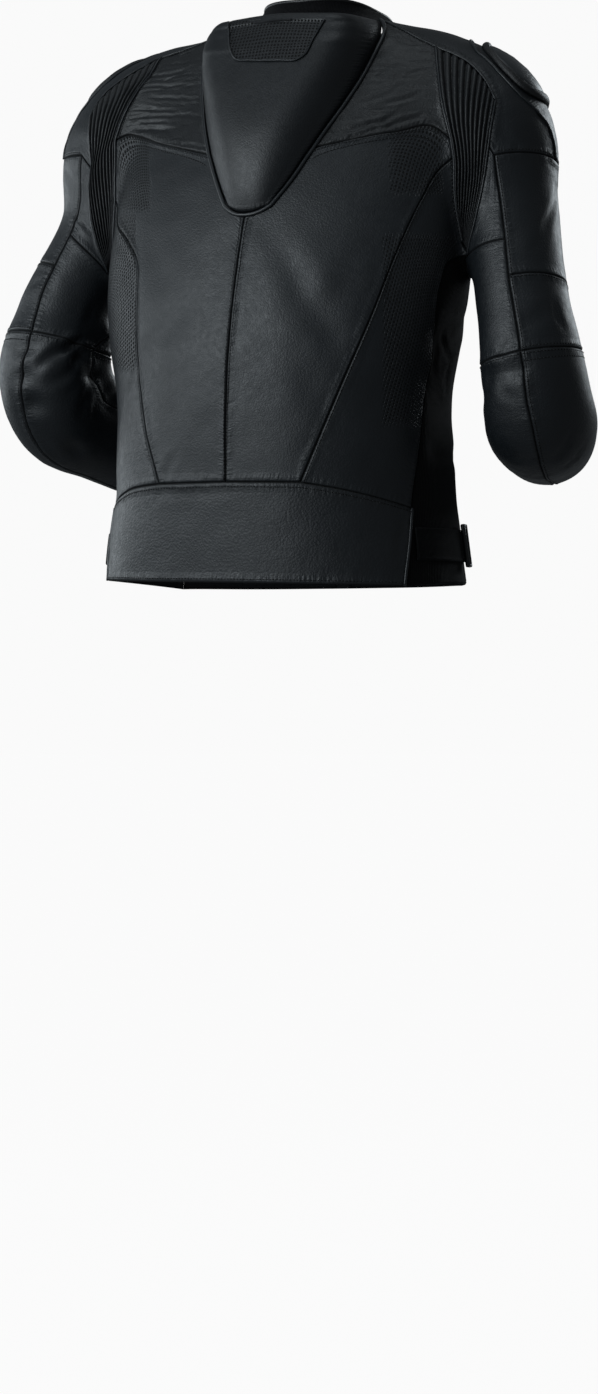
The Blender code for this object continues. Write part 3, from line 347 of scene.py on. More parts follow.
seams, ends = {}, {}
for side, sign in SIGN.items():
    corners = {name: settle([place])[0] for name, place in CENTRE.items()}
    ends[side] = corners
    places = dict(CORNERS, **LEFT_CORNERS) if side == "left" else CORNERS
    for name, place in places.items():
        corners[name] = settle([np.array(place, float) * (sign, 1, 1)])[0]
    for name, (bearing, *heights) in LOW_CORNERS.items():
        corners[name] = on_body(bearing, heights[0 if side == "left" else 1]) * (sign, 1, 1)
    corners["hem_centre"] = settle([(sign * 8.0, -45, HEM)])[0]
    cross = dict(CROSS_SEAMS[side], cuff=AXES[side].length)
    chart = {
        end: {name: (along, float(sleeve_turn(table, side, along))) for name, along in cross.items()}
        for end, table in (("back", BACK_SEAM), ("front", FRONT_SEAM))
    }
    for end, rows in chart.items():
        for name, (along, turn) in rows.items():
            corners[f"{name}_{end}"] = on_sleeve(side, [along], [turn])[0]
    corners["cap_top"] = on_sleeve(side, [cross["cap"]], [CREST_TURN[side]])[0]

    made = {}
    whole = dict(SEAMS, princess=("princess_top", PRINCESS[side], "princess_low"))
    for name, (start, ways, end) in whole.items():
        ways = LEFT_WAYS.get(name, ways) if side == "left" else ways
        stops = [corners[start]]
        stops += [(on_body(*way) if len(way) == 2 else np.array(way, float)) * (sign, 1, 1) for way in ways]
        stops = np.array(stops + [corners[end]])
        if len(stops) > 2:
            stops[1:-1] = settle(stops[1:-1])
        along = span_of(stops)
        path = settle(read_rows(along, stops, np.linspace(0, along[-1], 81)))
        path[0], path[-1] = corners[start], corners[end]
        made[name] = path
    names = list(cross)
    for upper, lower in zip(names, names[1:]):
        stations = np.linspace(cross[upper], cross[lower], 61)
        for label, table in (("long_back_", BACK_SEAM), ("long_front_", FRONT_SEAM)):
            made[label + lower] = on_sleeve(side, stations, sleeve_turn(table, side, stations))
    for name in names:
        start, end = chart["back"][name], chart["front"][name]
        made["outer_" + name] = sleeve_path(side, start, end)
        made["under_" + name] = sleeve_path(side, start, (end[0], end[1] - 360))
    crest = (cross["cap"], CREST_TURN[side])
    made["cap_behind"] = sleeve_path(side, chart["back"]["cap"], crest)
    made["cap_before"] = sleeve_path(side, crest, chart["front"]["cap"])
    seams.update({f"{side}:{name}": path for name, path in made.items()})
for name, corner in (("zip_low", "hem_centre"), ("zip_top", "collar_top_front")):
    seams[name] = np.linspace(ends["right"][corner], ends["left"][corner], 9)

# The photograph's camera: its place, and its focal length in pixels of the 598 x 1394 picture
AZIMUTH, CAMERA_DISTANCE, CAMERA_SHIFT, CAMERA_HEIGHT, FOCAL = 207.0, 4700.0, -29.0, -703.0, 4313.0
IMAGE_CENTRE = (299.0, 697.0)
BEHIND = np.array([math.sin(math.radians(AZIMUTH)), -math.cos(math.radians(AZIMUTH)), 0.0])
RIGHTWARD = np.array([-BEHIND[1], BEHIND[0], 0.0])
UPWARD = np.array([0.0, 0.0, 1.0])
CAMERA_PLACE = BEHIND * CAMERA_DISTANCE + RIGHTWARD * CAMERA_SHIFT + UPWARD * CAMERA_HEIGHT


def sight_line(pixels):
    """Directions from the camera through places in the picture."""
    pixels = np.asarray(pixels, float)
    ahead = -BEHIND * FOCAL + RIGHTWARD * (pixels[:, :1] - IMAGE_CENTRE[0])
    ahead = ahead + UPWARD * (IMAGE_CENTRE[1] - pixels[:, 1:])
    return ahead / np.linalg.norm(ahead, axis=1)[:, None]


def picture_place(points):
    """Where points of the form show in the picture."""
    depth = CAMERA_DISTANCE - points @ BEHIND
    x = IMAGE_CENTRE[0] + (points @ RIGHTWARD - CAMERA_SHIFT) * FOCAL / depth
    y = IMAGE_CENTRE[1] - (points[..., 2] - CAMERA_HEIGHT) * FOCAL / depth
    return np.stack([x, y], -1)


def seen(pixels):
    """The places of the form that the camera sees at the given places in the picture."""
    ahead = sight_line(pixels)
    found = np.full(len(ahead), np.nan)
    for reach in np.arange(4350.0, 5000.0, 5.0):
        open_rays = np.isnan(found)
        if not open_rays.any():
            break
        inside = form_level(CAMERA_PLACE + ahead[open_rays] * reach) < 0
        found[np.flatnonzero(open_rays)[inside]] = reach - 2.5
    found = np.where(np.isnan(found), CAMERA_DISTANCE - 50, found)
    return settle(CAMERA_PLACE + ahead * found[:, None], 3)


# The largest folds: start x, y, z, end x, y, z, depth, half width
FOLDS = (
    (226, 80, -305, 236, 66, -352, -10.5, 15),
    (228, 20, -385, 238, 66, -372, -10.0, 14),
    (238, 118, -330, 296, 150, -322, 5.0, 9),
    (236, 100, -352, 292, 146, -352, 6.0, 9),
    (234, 70, -376, 286, 140, -384, 5.0, 10),
    (232, 28, -402, 262, 96, -430, 4.0, 10),
    (-250, 140, -374, -300, 148, -366, 4.0, 9),
    (-240, 100, -392, -262, 128, -388, 5.0, 9),
    (-236, 40, -400, -250, 100, -412, 5.0, 10),
    (-322, 60, -300, -332, 20, -330, 3.0, 10),
    (-110, 205, -330, -60, 224, -250, 2.5, 16),
    (96, 208, -330, 66, 222, -300, 2.5, 16),
    (-205, 60, -300, -190, 120, -330, 3.0, 14),
    (-192, 20, -400, -188, 110, -440, 2.5, 14),
    (200, 20, -330, 188, 90, -360, 3.0, 14),
    (-150, -38, -330, -60, -30, -390, 3.0, 16),
    (150, -38, -320, 60, -30, -380, 3.0, 16),
    (-160, -36, -430, -50, -36, -470, 3.0, 16),
    (160, -36, -420, 50, -36, -460, 3.0, 16),
)
# Creases that show in the picture: start x, y, end x, y, sag, in its pixels; depth, half width in mm
SEEN_CREASES = (
    (140, 76, 192, 70, 2, 0.8, 2.2), (136, 86, 198, 84, 1, 0.7, 2.0), (150, 97, 203, 97, 1, 0.8, 2.0),
    (134, 106, 180, 110, 2, 0.7, 2.0), (140, 118, 200, 116, -2, 0.8, 2.4), (132, 126, 168, 122, -2, 0.9, 2.2),
    (128, 131, 172, 130, -2, 1.4, 3.0), (150, 138, 206, 146, 2, 0.8, 2.4), (170, 56, 196, 49, 1, 1.1, 2.2),
    (168, 64, 200, 60, 1, 0.7, 2.0),
    (332, 131, 400, 113, 3, 1.4, 2.8), (325, 143, 380, 126, 3, 1.0, 2.4), (384, 104, 424, 92, 2, 0.9, 2.6),
    (366, 130, 424, 113, 3, 0.9, 2.4), (352, 106, 412, 80, 3, 0.4, 3.0), (388, 122, 430, 118, -2, 0.6, 2.4),
    (330, 146, 380, 131, 2, 0.6, 2.6), (360, 88, 410, 70, 2, 0.3, 2.4),
    (240, 225, 205, 330, 8, 0.7, 14.0), (258, 222, 300, 300, -8, 0.8, 15.0),
    (150, 225, 175, 300, 6, 0.6, 14.0), (360, 250, 330, 360, 8, 0.8, 16.0),
    (300, 280, 322, 420, 6, 0.7, 16.0), (190, 350, 170, 450, 5, 0.6, 14.0),
    (140, 360, 122, 450, 3, 0.9, 5.0), (132, 408, 150, 470, 2, 0.5, 5.0), (180, 452, 165, 478, 2, 0.7, 5.0),
    (33, 370, 80, 343, -4, 4.0, 5.0), (44, 384, 74, 366, 4, 1.8, 4.5), (62, 350, 84, 336, 2, 2.4, 4.0),
    (84, 350, 74, 372, 3, 2.0, 4.0), (92, 388, 82, 420, 4, 2.0, 4.0), (96, 398, 100, 428, 3, 1.8, 3.6),
    (60, 440, 86, 470, -5, 1.0, 5.0), (34, 440, 60, 462, -4, 0.9, 4.0), (98, 430, 116, 448, 2, 0.8, 3.6),
    (84, 218, 92, 232, 2, 1.0, 3.0), (76, 212, 88, 226, 3, 0.8, 2.6), (72, 232, 84, 222, -2, 0.8, 2.6),
    (60, 262, 48, 290, 4, 0.9, 6.0), (30, 284, 44, 276, 2, 0.9, 4.0), (100, 300, 88, 330, 4, 0.8, 5.0),
    (542, 228, 556, 188, 4, 1.7, 4.0), (536, 250, 548, 216, 3, 0.6, 5.0), (520, 340, 500, 362, 4, 1.7, 5.0),
    (556, 300, 566, 330, 4, 1.6, 4.0), (508, 330, 560, 300, 4, 0.7, 7.0), (486, 372, 530, 366, 3, 1.0, 4.0),
    (498, 380, 520, 400, 5, 1.3, 5.0), (506, 452, 548, 456, 6, 1.6, 4.0), (552, 460, 572, 432, 4, 2.3, 3.6),
    (560, 470, 586, 440, 4, 1.7, 3.6), (514, 470, 550, 474, 5, 1.3, 3.6), (490, 378, 486, 400, 3, 1.2, 3.0),
    (446, 330, 452, 360, 3, 1.2, 4.0), (440, 345, 436, 380, 3, 1.0, 4.0), (452, 360, 448, 396, 3, 0.9, 5.0),
    (130, 492, 240, 490, 2, 0.5, 5.0), (150, 506, 162, 494, 2, 0.8, 3.0), (404, 520, 398, 560, 2, 0.6, 4.0),
    (548, 150, 556, 172, 2, 0.8, 3.0), (500, 120, 520, 150, 3, 0.7, 6.0), (62, 150, 76, 186, 4, 1.0, 5.0),
)
# Creases on the sides that it hides: x, y, z of start, middle and end in mm; depth, half width
HIDDEN_CREASES = (
    ((120, -52, -90), (150, -48, -130), (190, -30, -160), 1.2, 6),
    ((-120, -52, -90), (-150, -48, -128), (-186, -32, -164), 1.2, 6),
    ((60, -50, -180), (110, -44, -230), (170, -20, -260), 1.0, 9),
    ((-64, -50, -190), (-112, -44, -236), (-168, -22, -272), 1.0, 9),
    ((40, -40, -500), (90, -42, -520), (150, -34, -512), 0.9, 8),
    ((-44, -40, -510), (-96, -42, -524), (-150, -34, -520), 0.9, 8),
    ((214, -10, -130), (250, 0, -160), (284, 30, -168), 1.2, 6),
    ((-214, -10, -140), (-250, 0, -170), (-284, 30, -176), 1.2, 6),
    ((250, 10, -330), (280, 20, -350), (330, 60, -352), 1.6, 6),
    ((-250, 16, -340), (-284, 24, -360), (-334, 66, -366), 1.6, 6),
    ((236, 24, -372), (262, -6, -388), (296, 0, -398), 1.8, 6),
    ((-246, 24, -380), (-268, -2, -392), (-300, 4, -404), 1.8, 6),
    ((206, -40, -400), (230, -70, -420), (250, -50, -470), 1.2, 5),
    ((-226, -60, -380), (-250, -96, -400), (-256, -70, -450), 1.2, 5),
    ((150, -120, -440), (186, -130, -452), (200, -96, -486), 1.0, 4),
    ((-172, -130, -382), (-214, -150, -392), (-226, -120, -440), 1.0, 4),
    ((198, 30, -290), (190, 60, -320), (186, 100, -340), 1.4, 6),
    ((-198, 30, -290), (-190, 60, -320), (-186, 100, -340), 1.4, 6),
    ((180, 0, -440), (188, 50, -460), (186, 110, -452), 1.0, 6),
    ((-180, 0, -440), (-188, 50, -460), (-186, 110, -452), 1.0, 6),
)


def crease_lines():
    """Every crease as a line of points on the form, with its depth and half width."""
    shares = np.linspace(0, 1, 9)[:, None]
    lines = []
    for x0, y0, x1, y1, sag, depth, half_width in SEEN_CREASES:
        start, end = np.array([x0, y0], float), np.array([x1, y1], float)
        square = np.array([y0 - y1, x1 - x0]) / math.hypot(x1 - x0, y1 - y0)
        pixels = start + (end - start) * shares + square * sag * 4 * shares * (1 - shares)
        lines.append((seen(pixels), depth, half_width))
    for *stops, depth, half_width in HIDDEN_CREASES:
        start, middle, end = (np.array(stop, float) for stop in stops)
        path = (1 - shares) ** 2 * start + 2 * shares * (1 - shares) * middle + shares**2 * end
        lines.append((settle(path), depth, half_width))
    return lines


CREASES = crease_lines()


def ripple(points, size, seed):
    """An uneven wave with bumps of about the given size."""
    draw = np.random.default_rng(seed)
    total = np.zeros(len(points))
    for _ in range(7):
        way = draw.normal(size=3)
        way *= 2 * math.pi / size * draw.uniform(0.6, 1.4) / np.linalg.norm(way)
        total += np.sin(points @ way + draw.uniform(0, 2 * math.pi))
    return total / math.sqrt(7)


def relief(points):
    """How far the worn leather stands off its form: large folds, creases and a slight unevenness."""
    height = 0.5 * ripple(points, 110, 3) + 0.16 * ripple(points, 38, 8)
    for *places, depth, half_width in FOLDS:
        start, end = np.array(places[:3], float), np.array(places[3:], float)
        run = end - start
        share = np.clip(((points - start) @ run) / (run @ run), 0, 1)
        away = np.linalg.norm(points - start - share[:, None] * run, axis=1)
        height -= depth * np.exp(-((away / half_width) ** 2))
    for line, depth, half_width in CREASES:
        low, high = line.min(0) - 4 * half_width, line.max(0) + 4 * half_width
        near = np.flatnonzero(((points > low) & (points < high)).all(1))
        if not len(near):
            continue
        here = points[near][:, None]
        start, run = line[:-1], np.diff(line, axis=0)
        share = np.clip(((here - start) * run).sum(-1) / (run**2).sum(-1), 0, 1)
        gaps = np.linalg.norm(here - start - share[..., None] * run, axis=-1)
        nearest = gaps.argmin(1)
        away = gaps[np.arange(len(near)), nearest] / half_width
        along = (nearest + share[np.arange(len(near)), nearest]) / len(run)
        taper = np.sqrt(np.clip(np.sin(np.pi * along), 0, 1))
        height[near] += depth * taper * (0.45 * np.exp(-((away - 1.9) ** 2)) - np.exp(-(away**2)))
    return height


CELL = 4.6                                # side of a cell of the leather's grid
STRIPS = (0.5, 1.1, 1.9, 3.0, 3.7)        # finer lines beside every seam
# How far the leather dips at a seam and at its stitches, swells between them and puckers beside
SEAM_DIP, SEAM_SWELL, STITCH_DIP, PUCKER = 1.7, 0.42, 0.34, 0.3
DIP_WIDTH, SWELL_AT, SWELL_WIDTH, STITCH_AT, STITCH_WIDTH = 1.0, 2.3, 1.6, 3.0, 0.5
PUCKER_SIZE, PUCKER_AT, PUCKER_WIDTH = 12, 5.5, 5
# The fine pleats of the thread's pull are strongest this far from a seam
PULL_AT, PULL_WIDTH = 5.0, 3.0


class Cloth:
    """A grid of points on the form, with its normals and the distances to its edges."""

    def __init__(self, grid, strips=(), cell=CELL):
        self.strips, self.shares = strips, []
        self.marks, self.counts = {}, (grid.shape[1] - 1, grid.shape[0] - 1)
        for axis in (0, 1):
            last = grid.shape[axis] - 1
            near = np.array(strips) / cell
            at = np.r_[0, near, np.arange(1, last), last - near[::-1], last]
            first = np.minimum(at.astype(int), last - 1)
            share = (at - first)[:, None, None] if axis == 0 else (at - first)[None, :, None]
            grid = np.take(grid, first, axis) * (1 - share) + np.take(grid, first + 1, axis) * share
            self.shares.append(at / last)
        self.base, self.points = grid, grid.copy()
        self.normals = outward(grid.reshape(-1, 3)).reshape(grid.shape)
        rows, columns = (np.linalg.norm(np.diff(grid, axis=axis), axis=-1) for axis in (0, 1))
        self.up = np.concatenate([np.zeros((1, rows.shape[1])), np.cumsum(rows, 0)])
        self.over = np.concatenate([np.zeros((columns.shape[0], 1)), np.cumsum(columns, 1)], 1)
        edges = (self.up, self.over[:, -1:] - self.over, self.up[-1:] - self.up, self.over)
        self.to_rim = np.minimum.reduce(edges)
        pairs = [np.minimum(edges[n], edges[n + 2]) for n in (0, 1)]
        self.pulled = [np.exp(-(((gap - PULL_AT) / PULL_WIDTH) ** 2)) for gap in pairs]

    def measure(self):
        """The width, the length and the area of the cut."""
        grid = self.points
        up, over = (np.linalg.norm(np.diff(grid, axis=axis), axis=-1) for axis in (0, 1))
        cells = np.cross(grid[1:, :-1] - grid[:-1, :-1], grid[:-1, 1:] - grid[:-1, :-1])
        return float(over.sum(1).max()), float(up.sum(0).max()), float(np.linalg.norm(cells, axis=-1).sum())

    def raise_by(self, height):
        self.points = self.base + self.normals * height[..., None]
        return self

    def wear(self, dip=SEAM_DIP, swell=SEAM_SWELL, extra=0.0):
        """Sew the edges in and let the leather crease."""
        flat = self.base.reshape(-1, 3)
        away = self.to_rim
        height = relief(flat).reshape(away.shape) + extra
        height += swell * np.exp(-(((away - SWELL_AT) / SWELL_WIDTH) ** 2))
        height -= dip * np.exp(-((away / DIP_WIDTH) ** 2))
        height -= STITCH_DIP * np.exp(-(((away - STITCH_AT) / STITCH_WIDTH) ** 2))
        pucker = PUCKER * ripple(flat, PUCKER_SIZE, 5).reshape(away.shape)
        height += pucker * np.exp(-(((away - PUCKER_AT) / PUCKER_WIDTH) ** 2))
        return self.raise_by(height)

    def line(self, seam, ring):
        """Points and normals of the grid line a given number of lines in from a seam."""
        number, start, end = self.marks[seam]
        last, more = self.counts[number % 2], len(self.strips)
        start, end = (0 if at == 0 else last + 2 * more if at == last else at + more for at in (start, end))
        rows = {0: np.s_[ring, start:end + 1], 2: np.s_[-1 - ring, start:end + 1],
                3: np.s_[start:end + 1, ring], 1: np.s_[start:end + 1, -1 - ring]}[number]
        return self.points[rows], self.normals[rows]


def lay_line(line, count):
    """Points along one side of a panel, with a point at each end of every seam, and their places."""
    spans = np.array([span_of(path)[-1] for _, path in line])
    share = spans / spans.sum() * count
    cells = np.maximum(1, np.floor(share)).astype(int)
    while cells.sum() < count:
        cells[np.argmax(share - cells)] += 1
    while cells.sum() > count:
        cells[np.argmax(np.where(cells > 1, cells - share, -9))] -= 1
    points, places, at = [], {}, 0
    for (key, path), steps in zip(line, cells):
        part = even_points(path, steps)
        points.extend(part if not points else part[1:])
        places[key] = at, at + steps
        at += steps
    return np.array(points), places


def find_lines(runs, side):
    """The seams of each side of a panel, by name and path."""
    lines = []
    for run in runs:
        lines.append([])
        for name in run.split():
            key = name.lstrip("-")
            path = seams[key if key in seams else f"{side}:{key}"]
            lines[-1].append((key, path[::-1] if name.startswith("-") else path))
    return lines


def panel(runs, side=None, cell=CELL, shape=None, rounds=40, strips=STRIPS):
    """The cloth between four runs of seams. Low and high run left to right, the others upwards."""
    lines = find_lines(runs, side)
    spans = [sum(span_of(path)[-1] for _, path in line) for line in lines]
    if shape is None:
        shape = [max(6, round((spans[i] + spans[i + 2]) / 2 / cell)) for i in (0, 1)]
    (low, low_at), (right, right_at), (high, high_at), (left, left_at) = (
        lay_line(line, shape[n % 2]) for n, line in enumerate(lines))
    u = np.linspace(0, 1, len(low))[None, :, None]
    v = np.linspace(0, 1, len(left))[:, None, None]
    grid = low[None] * (1 - v) + high[None] * v + left[:, None] * (1 - u) + right[:, None] * u
    grid -= low[0] * (1 - u) * (1 - v) + low[-1] * u * (1 - v) + high[0] * (1 - u) * v + high[-1] * u * v

    def settle_inside(times):
        inner = settle(grid[1:-1, 1:-1].reshape(-1, 3), times)
        grid[1:-1, 1:-1] = inner.reshape(grid[1:-1, 1:-1].shape)

    settle_inside(5)
    for step in range(rounds):
        mean = (grid[:-2, 1:-1] + grid[2:, 1:-1] + grid[1:-1, :-2] + grid[1:-1, 2:]) / 4
        grid[1:-1, 1:-1] += 0.8 * (mean - grid[1:-1, 1:-1])
        if step % 13 == 12:
            settle_inside(1)
    cloth = Cloth(grid, strips, cell)
    for number, places in enumerate((low_at, right_at, high_at, left_at)):
        cloth.marks.update({key: (number, *at) for key, at in places.items()})
    return cloth


def fill_mesh(name, points, faces, materials):
    mesh = bpy.data.meshes.new(name)
    mesh.from_pydata(np.asarray(points) * MM, [], faces)
    for material in materials:
        mesh.materials.append(material)
    mesh.shade_smooth()
    item = bpy.data.objects.new(name, mesh)
    bpy.context.scene.collection.objects.link(item)
    return item


SEAM_SHADE_REACH = 0.85                         # how far the painted shade of a seam's gutter reaches in from a panel's edge


def add_cloth(name, cloths, materials, replaces=(), thickness=1.4, holes=None):
    """Panels as one piece of cloth with its thickness inside."""
    points, faces, places, start = [], [], [], 0
    for cloth in cloths:
        rows, columns = cloth.points.shape[:2]
        ids = start + np.arange(rows * columns).reshape(rows, columns)
        quads = np.stack([ids[:-1, :-1], ids[:-1, 1:], ids[1:, 1:], ids[1:, :-1]], -1).reshape(-1, 4)
        flat = cloth.points.reshape(-1, 3)
        over, up = cloth.base[:-1, 1:] - cloth.base[:-1, :-1], cloth.base[1:, :-1] - cloth.base[:-1, :-1]
        facing = np.cross(over, up)
        if (facing * cloth.normals[:-1, :-1]).sum() < 0:
            quads = quads[:, ::-1]
        points.append(flat)
        faces.append(quads)
        middle = cloth.over - cloth.over[:, -1:] / 2
        high = np.broadcast_to(cloth.up.mean(1)[:, None], middle.shape)
        places.append(np.stack([middle, high], -1).reshape(-1, 2))
        start += rows * columns
    points, faces, places = (np.concatenate(part) for part in (points, faces, places))
    item = fill_mesh(name, points, faces.tolist(), materials)
    cut = item.data.uv_layers.new(name="cut")
    cut.data.foreach_set("uv", (places[faces.ravel()] * MM).ravel())
    # 1 at a panel's edge, fading inwards: where painted shade darkens the seam gutters
    edge = np.concatenate([np.exp(-((cloth.to_rim.ravel() / SEAM_SHADE_REACH) ** 2)) for cloth in cloths])
    across, along = (np.concatenate([cloth.pulled[n].ravel() for cloth in cloths]) for n in (0, 1))
    punched = edge * 0 if holes is None else holes(points)
    for mark, values in (("edge", edge), ("holes", punched), ("pull_across", across), ("pull_along", along)):
        marks = item.data.attributes.new(mark, "FLOAT", "POINT")
        marks.data.foreach_set("value", values.astype(np.float32))
    wall = item.modifiers.new("thickness", "SOLIDIFY")
    wall.thickness, wall.offset = thickness * MM, -1
    if len(materials) > 1:
        wall.material_offset = 1
    widths, lengths, areas = zip(*(cloth.measure() for cloth in cloths))
    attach(item, "jacket")
    if replaces:
        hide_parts(*replaces)
    return item


def linear(hex_colour):
    """An sRGB hex colour as linear red, green, blue and alpha."""
    values = [int(hex_colour[i:i + 2], 16) / 255 for i in (1, 3, 5)]
    return (*[v / 12.92 if v <= 0.04045 else ((v + 0.055) / 1.055) ** 2.4 for v in values], 1.0)


def add_node(tree, kind, settings=None, links=None):
    """A node with its settings by name, and its inputs linked or set by name."""
    item = tree.nodes.new("ShaderNode" + kind)
    for key, value in (settings or {}).items():
        if isinstance(key, str) and hasattr(item, key):
            setattr(item, key, value)
        else:
            item.inputs[key].default_value = value
    for key, source in (links or {}).items():
        tree.links.new(source, item.inputs[key])
    return item


def new_material(name):
    material = bpy.data.materials.new(name)
    material.use_nodes = True
    return material, material.node_tree, material.node_tree.nodes["Principled BSDF"]


# Holes are 3 mm apart on the real leather, and drawn a little coarser, as they need to show
HOLE_PITCH, HOLE_SHARE, HOLE_EDGE, HOLE_DEPTH = 4.0 * MM, 0.25, 0.1, 1.4 * MM
# Fine pleats where the thread pulls the leather in beside a seam: their width, depth and stretch
PLEAT, PLEAT_DEPTH, PLEAT_STRETCH = 3.2 * MM, 0.9 * MM, 0.12
# Patches where the pigment is a little lighter, and the creasing between the pebbles
PATCH, WRINKLE, WRINKLE_RISE = 45 * MM, 6 * MM, 0.14 * MM
# The first colour is painted shade: near black mixed into the leather along its seam gutters
SEAM_SHADE_COLOUR, HOLE_DARK = "#030303", "#020202"


def leather(name, dark, light, smooth, rough, pebble, pebble_depth, holes=False):
    """Finished cowhide: black pigment under a satin coat, with an embossed pebble grain."""
    material, tree, shader = new_material(name)
    place = add_node(tree, "TexCoord").outputs["Object"]
    patch = add_node(tree, "TexNoise", {"Scale": 1 / PATCH, "Detail": 3.0}, {"Vector": place})
    fine = add_node(tree, "TexNoise", {"Scale": 1 / WRINKLE, "Detail": 4.0, "Roughness": 0.6},
                    {"Vector": place})
    bent = add_node(tree, "VectorMath", {"operation": "MULTIPLY_ADD", 1: (pebble,) * 3},
                    {0: fine.outputs["Color"], 2: place})
    cells = add_node(tree, "TexVoronoi",
                     {"feature": "SMOOTH_F1", "Scale": 1 / pebble, "Smoothness": 0.35},
                     {"Vector": bent.outputs[0]})
    colour = add_node(tree, "Mix", {"data_type": "RGBA", 6: linear(dark), 7: linear(light)},
                      {0: patch.outputs["Fac"]})
    # The colour goes near black along the panel's edges: painted shade in the seam gutters
    edge = add_node(tree, "Attribute", {"attribute_name": "edge"})
    seam_shaded = add_node(tree, "Mix", {"data_type": "RGBA", 7: linear(SEAM_SHADE_COLOUR)},
                    {0: edge.outputs["Fac"], 6: colour.outputs[2]})
    gloss = add_node(tree, "MapRange",
                     {"From Min": 0.3, "From Max": 0.7, "To Min": smooth, "To Max": rough},
                     {"Value": fine.outputs["Fac"]})
    grain = add_node(tree, "Bump", {"Strength": 1.0, "Distance": pebble_depth, "invert": True},
                     {"Height": cells.outputs["Distance"]})
    wrinkle = add_node(tree, "Bump", {"Strength": 0.5, "Distance": WRINKLE_RISE},
                       {"Height": fine.outputs["Fac"], "Normal": grain.outputs["Normal"]})
    worn = add_node(tree, "Mix", {"data_type": "FLOAT", 3: 0.95},
                    {0: edge.outputs["Fac"], 2: gloss.outputs[0]})
    base, normal, rough_at = seam_shaded.outputs[2], wrinkle.outputs["Normal"], worn.outputs[0]
    cut = add_node(tree, "UVMap", {"uv_map": "cut"})
    shapes = (("pull_across", (1.0, PLEAT_STRETCH, 1.0)), ("pull_along", (PLEAT_STRETCH, 1.0, 1.0)))
    for mark, stretch in shapes:
        pull = add_node(tree, "Attribute", {"attribute_name": mark})
        long = add_node(tree, "VectorMath", {"operation": "MULTIPLY", 1: stretch}, {0: cut.outputs["UV"]})
        pleats = add_node(tree, "TexNoise", {"noise_dimensions": "2D", "Scale": 1 / PLEAT, "Detail": 1.0},
                          {"Vector": long.outputs[0]})
        deep = add_node(tree, "Math", {"operation": "MULTIPLY"},
                        {0: pull.outputs["Fac"], 1: pleats.outputs["Fac"]})
        normal = add_node(tree, "Bump", {"Strength": 1.0, "Distance": PLEAT_DEPTH},
                          {"Height": deep.outputs[0], "Normal": normal}).outputs["Normal"]
    if holes:
        where = add_node(tree, "Attribute", {"attribute_name": "holes"})
        dots = add_node(tree, "TexVoronoi",
                        {"voronoi_dimensions": "2D", "Scale": 1 / HOLE_PITCH, "Randomness": 0.0},
                        {"Vector": cut.outputs["UV"]})
        rim = HOLE_SHARE + HOLE_EDGE
        hole = add_node(tree, "MapRange",
                        {"From Min": HOLE_SHARE, "From Max": rim, "To Min": 1.0, "To Max": 0.0},
                        {"Value": dots.outputs["Distance"]})
        shown = add_node(tree, "Math", {"operation": "MULTIPLY"},
                         {0: hole.outputs[0], 1: where.outputs["Fac"]})
        pit = add_node(tree, "Bump", {"Strength": 0.9, "Distance": HOLE_DEPTH, "invert": True},
                       {"Height": shown.outputs[0], "Normal": normal})
        deep = add_node(tree, "Mix", {"data_type": "RGBA", 7: linear(HOLE_DARK)},
                        {0: shown.outputs[0], 6: base})
        dull = add_node(tree, "Mix", {"data_type": "FLOAT", 3: 1.0}, {0: shown.outputs[0], 2: rough_at})
        base, normal, rough_at = deep.outputs[2], pit.outputs["Normal"], dull.outputs[0]
    tree.links.new(base, shader.inputs["Base Color"])
    tree.links.new(rough_at, shader.inputs["Roughness"])
    tree.links.new(normal, shader.inputs["Normal"])
    shader.inputs["IOR"].default_value = 1.5
    shader.inputs["Specular IOR Level"].default_value = 0.5
    return material


# Full-grain cowhide: reads as cool grey-black with broad soft highlights and a fine pebble
cowhide = leather("cowhide_black", "#12161a", "#1a1f23", 0.40, 0.52, 0.0019, 0.0002)
punched = leather("cowhide_black_perforated", "#12161a", "#1a1f23", 0.40, 0.52, 0.0019, 0.0002, True)


EYELET = 2.8 * MM


def knitted_lining():
    """Polyester mesh lining: matt dark grey with small round eyelets, seen only at the openings."""
    material, tree, shader = new_material("lining_polyester_mesh")
    place = add_node(tree, "TexCoord").outputs["Object"]
    eyes = add_node(tree, "TexVoronoi", {"Scale": 1 / EYELET, "Randomness": 0.15}, {"Vector": place})
    fill = add_node(tree, "MapRange", {"From Min": 0.2, "From Max": 0.35},
                    {"Value": eyes.outputs["Distance"]})
    colour = add_node(tree, "Mix", {"data_type": "RGBA", 6: linear("#060607"), 7: linear("#1c1e21")},
                      {0: fill.outputs[0]})
    sink = add_node(tree, "Bump", {"Strength": 0.5, "Distance": 0.0004}, {"Height": fill.outputs[0]})
    tree.links.new(colour.outputs[2], shader.inputs["Base Color"])
    tree.links.new(sink.outputs["Normal"], shader.inputs["Normal"])
    shader.inputs["Roughness"].default_value = 0.9
    return material


lining = knitted_lining()

# Perforated fields, by their middle and reach in the picture: x, y, half width, half height
HOLE_FIELDS = ((134, 172, 15, 36), (417, 158, 24, 34), (121, 292, 14, 74), (420, 330, 34, 90))


def perforated(points):
    """1 where the leather is perforated, fading over a few millimetres."""
    x, y = picture_place(points).T
    marks = np.zeros(len(points))
    for middle_x, middle_y, wide, high in HOLE_FIELDS:
        away = np.maximum(np.abs(x - middle_x) / wide, np.abs(y - middle_y) / high)
        marks = np.maximum(marks, np.clip((1.08 - away) / 0.08, 0, 1))
    return marks * (points[:, 1] > 60)


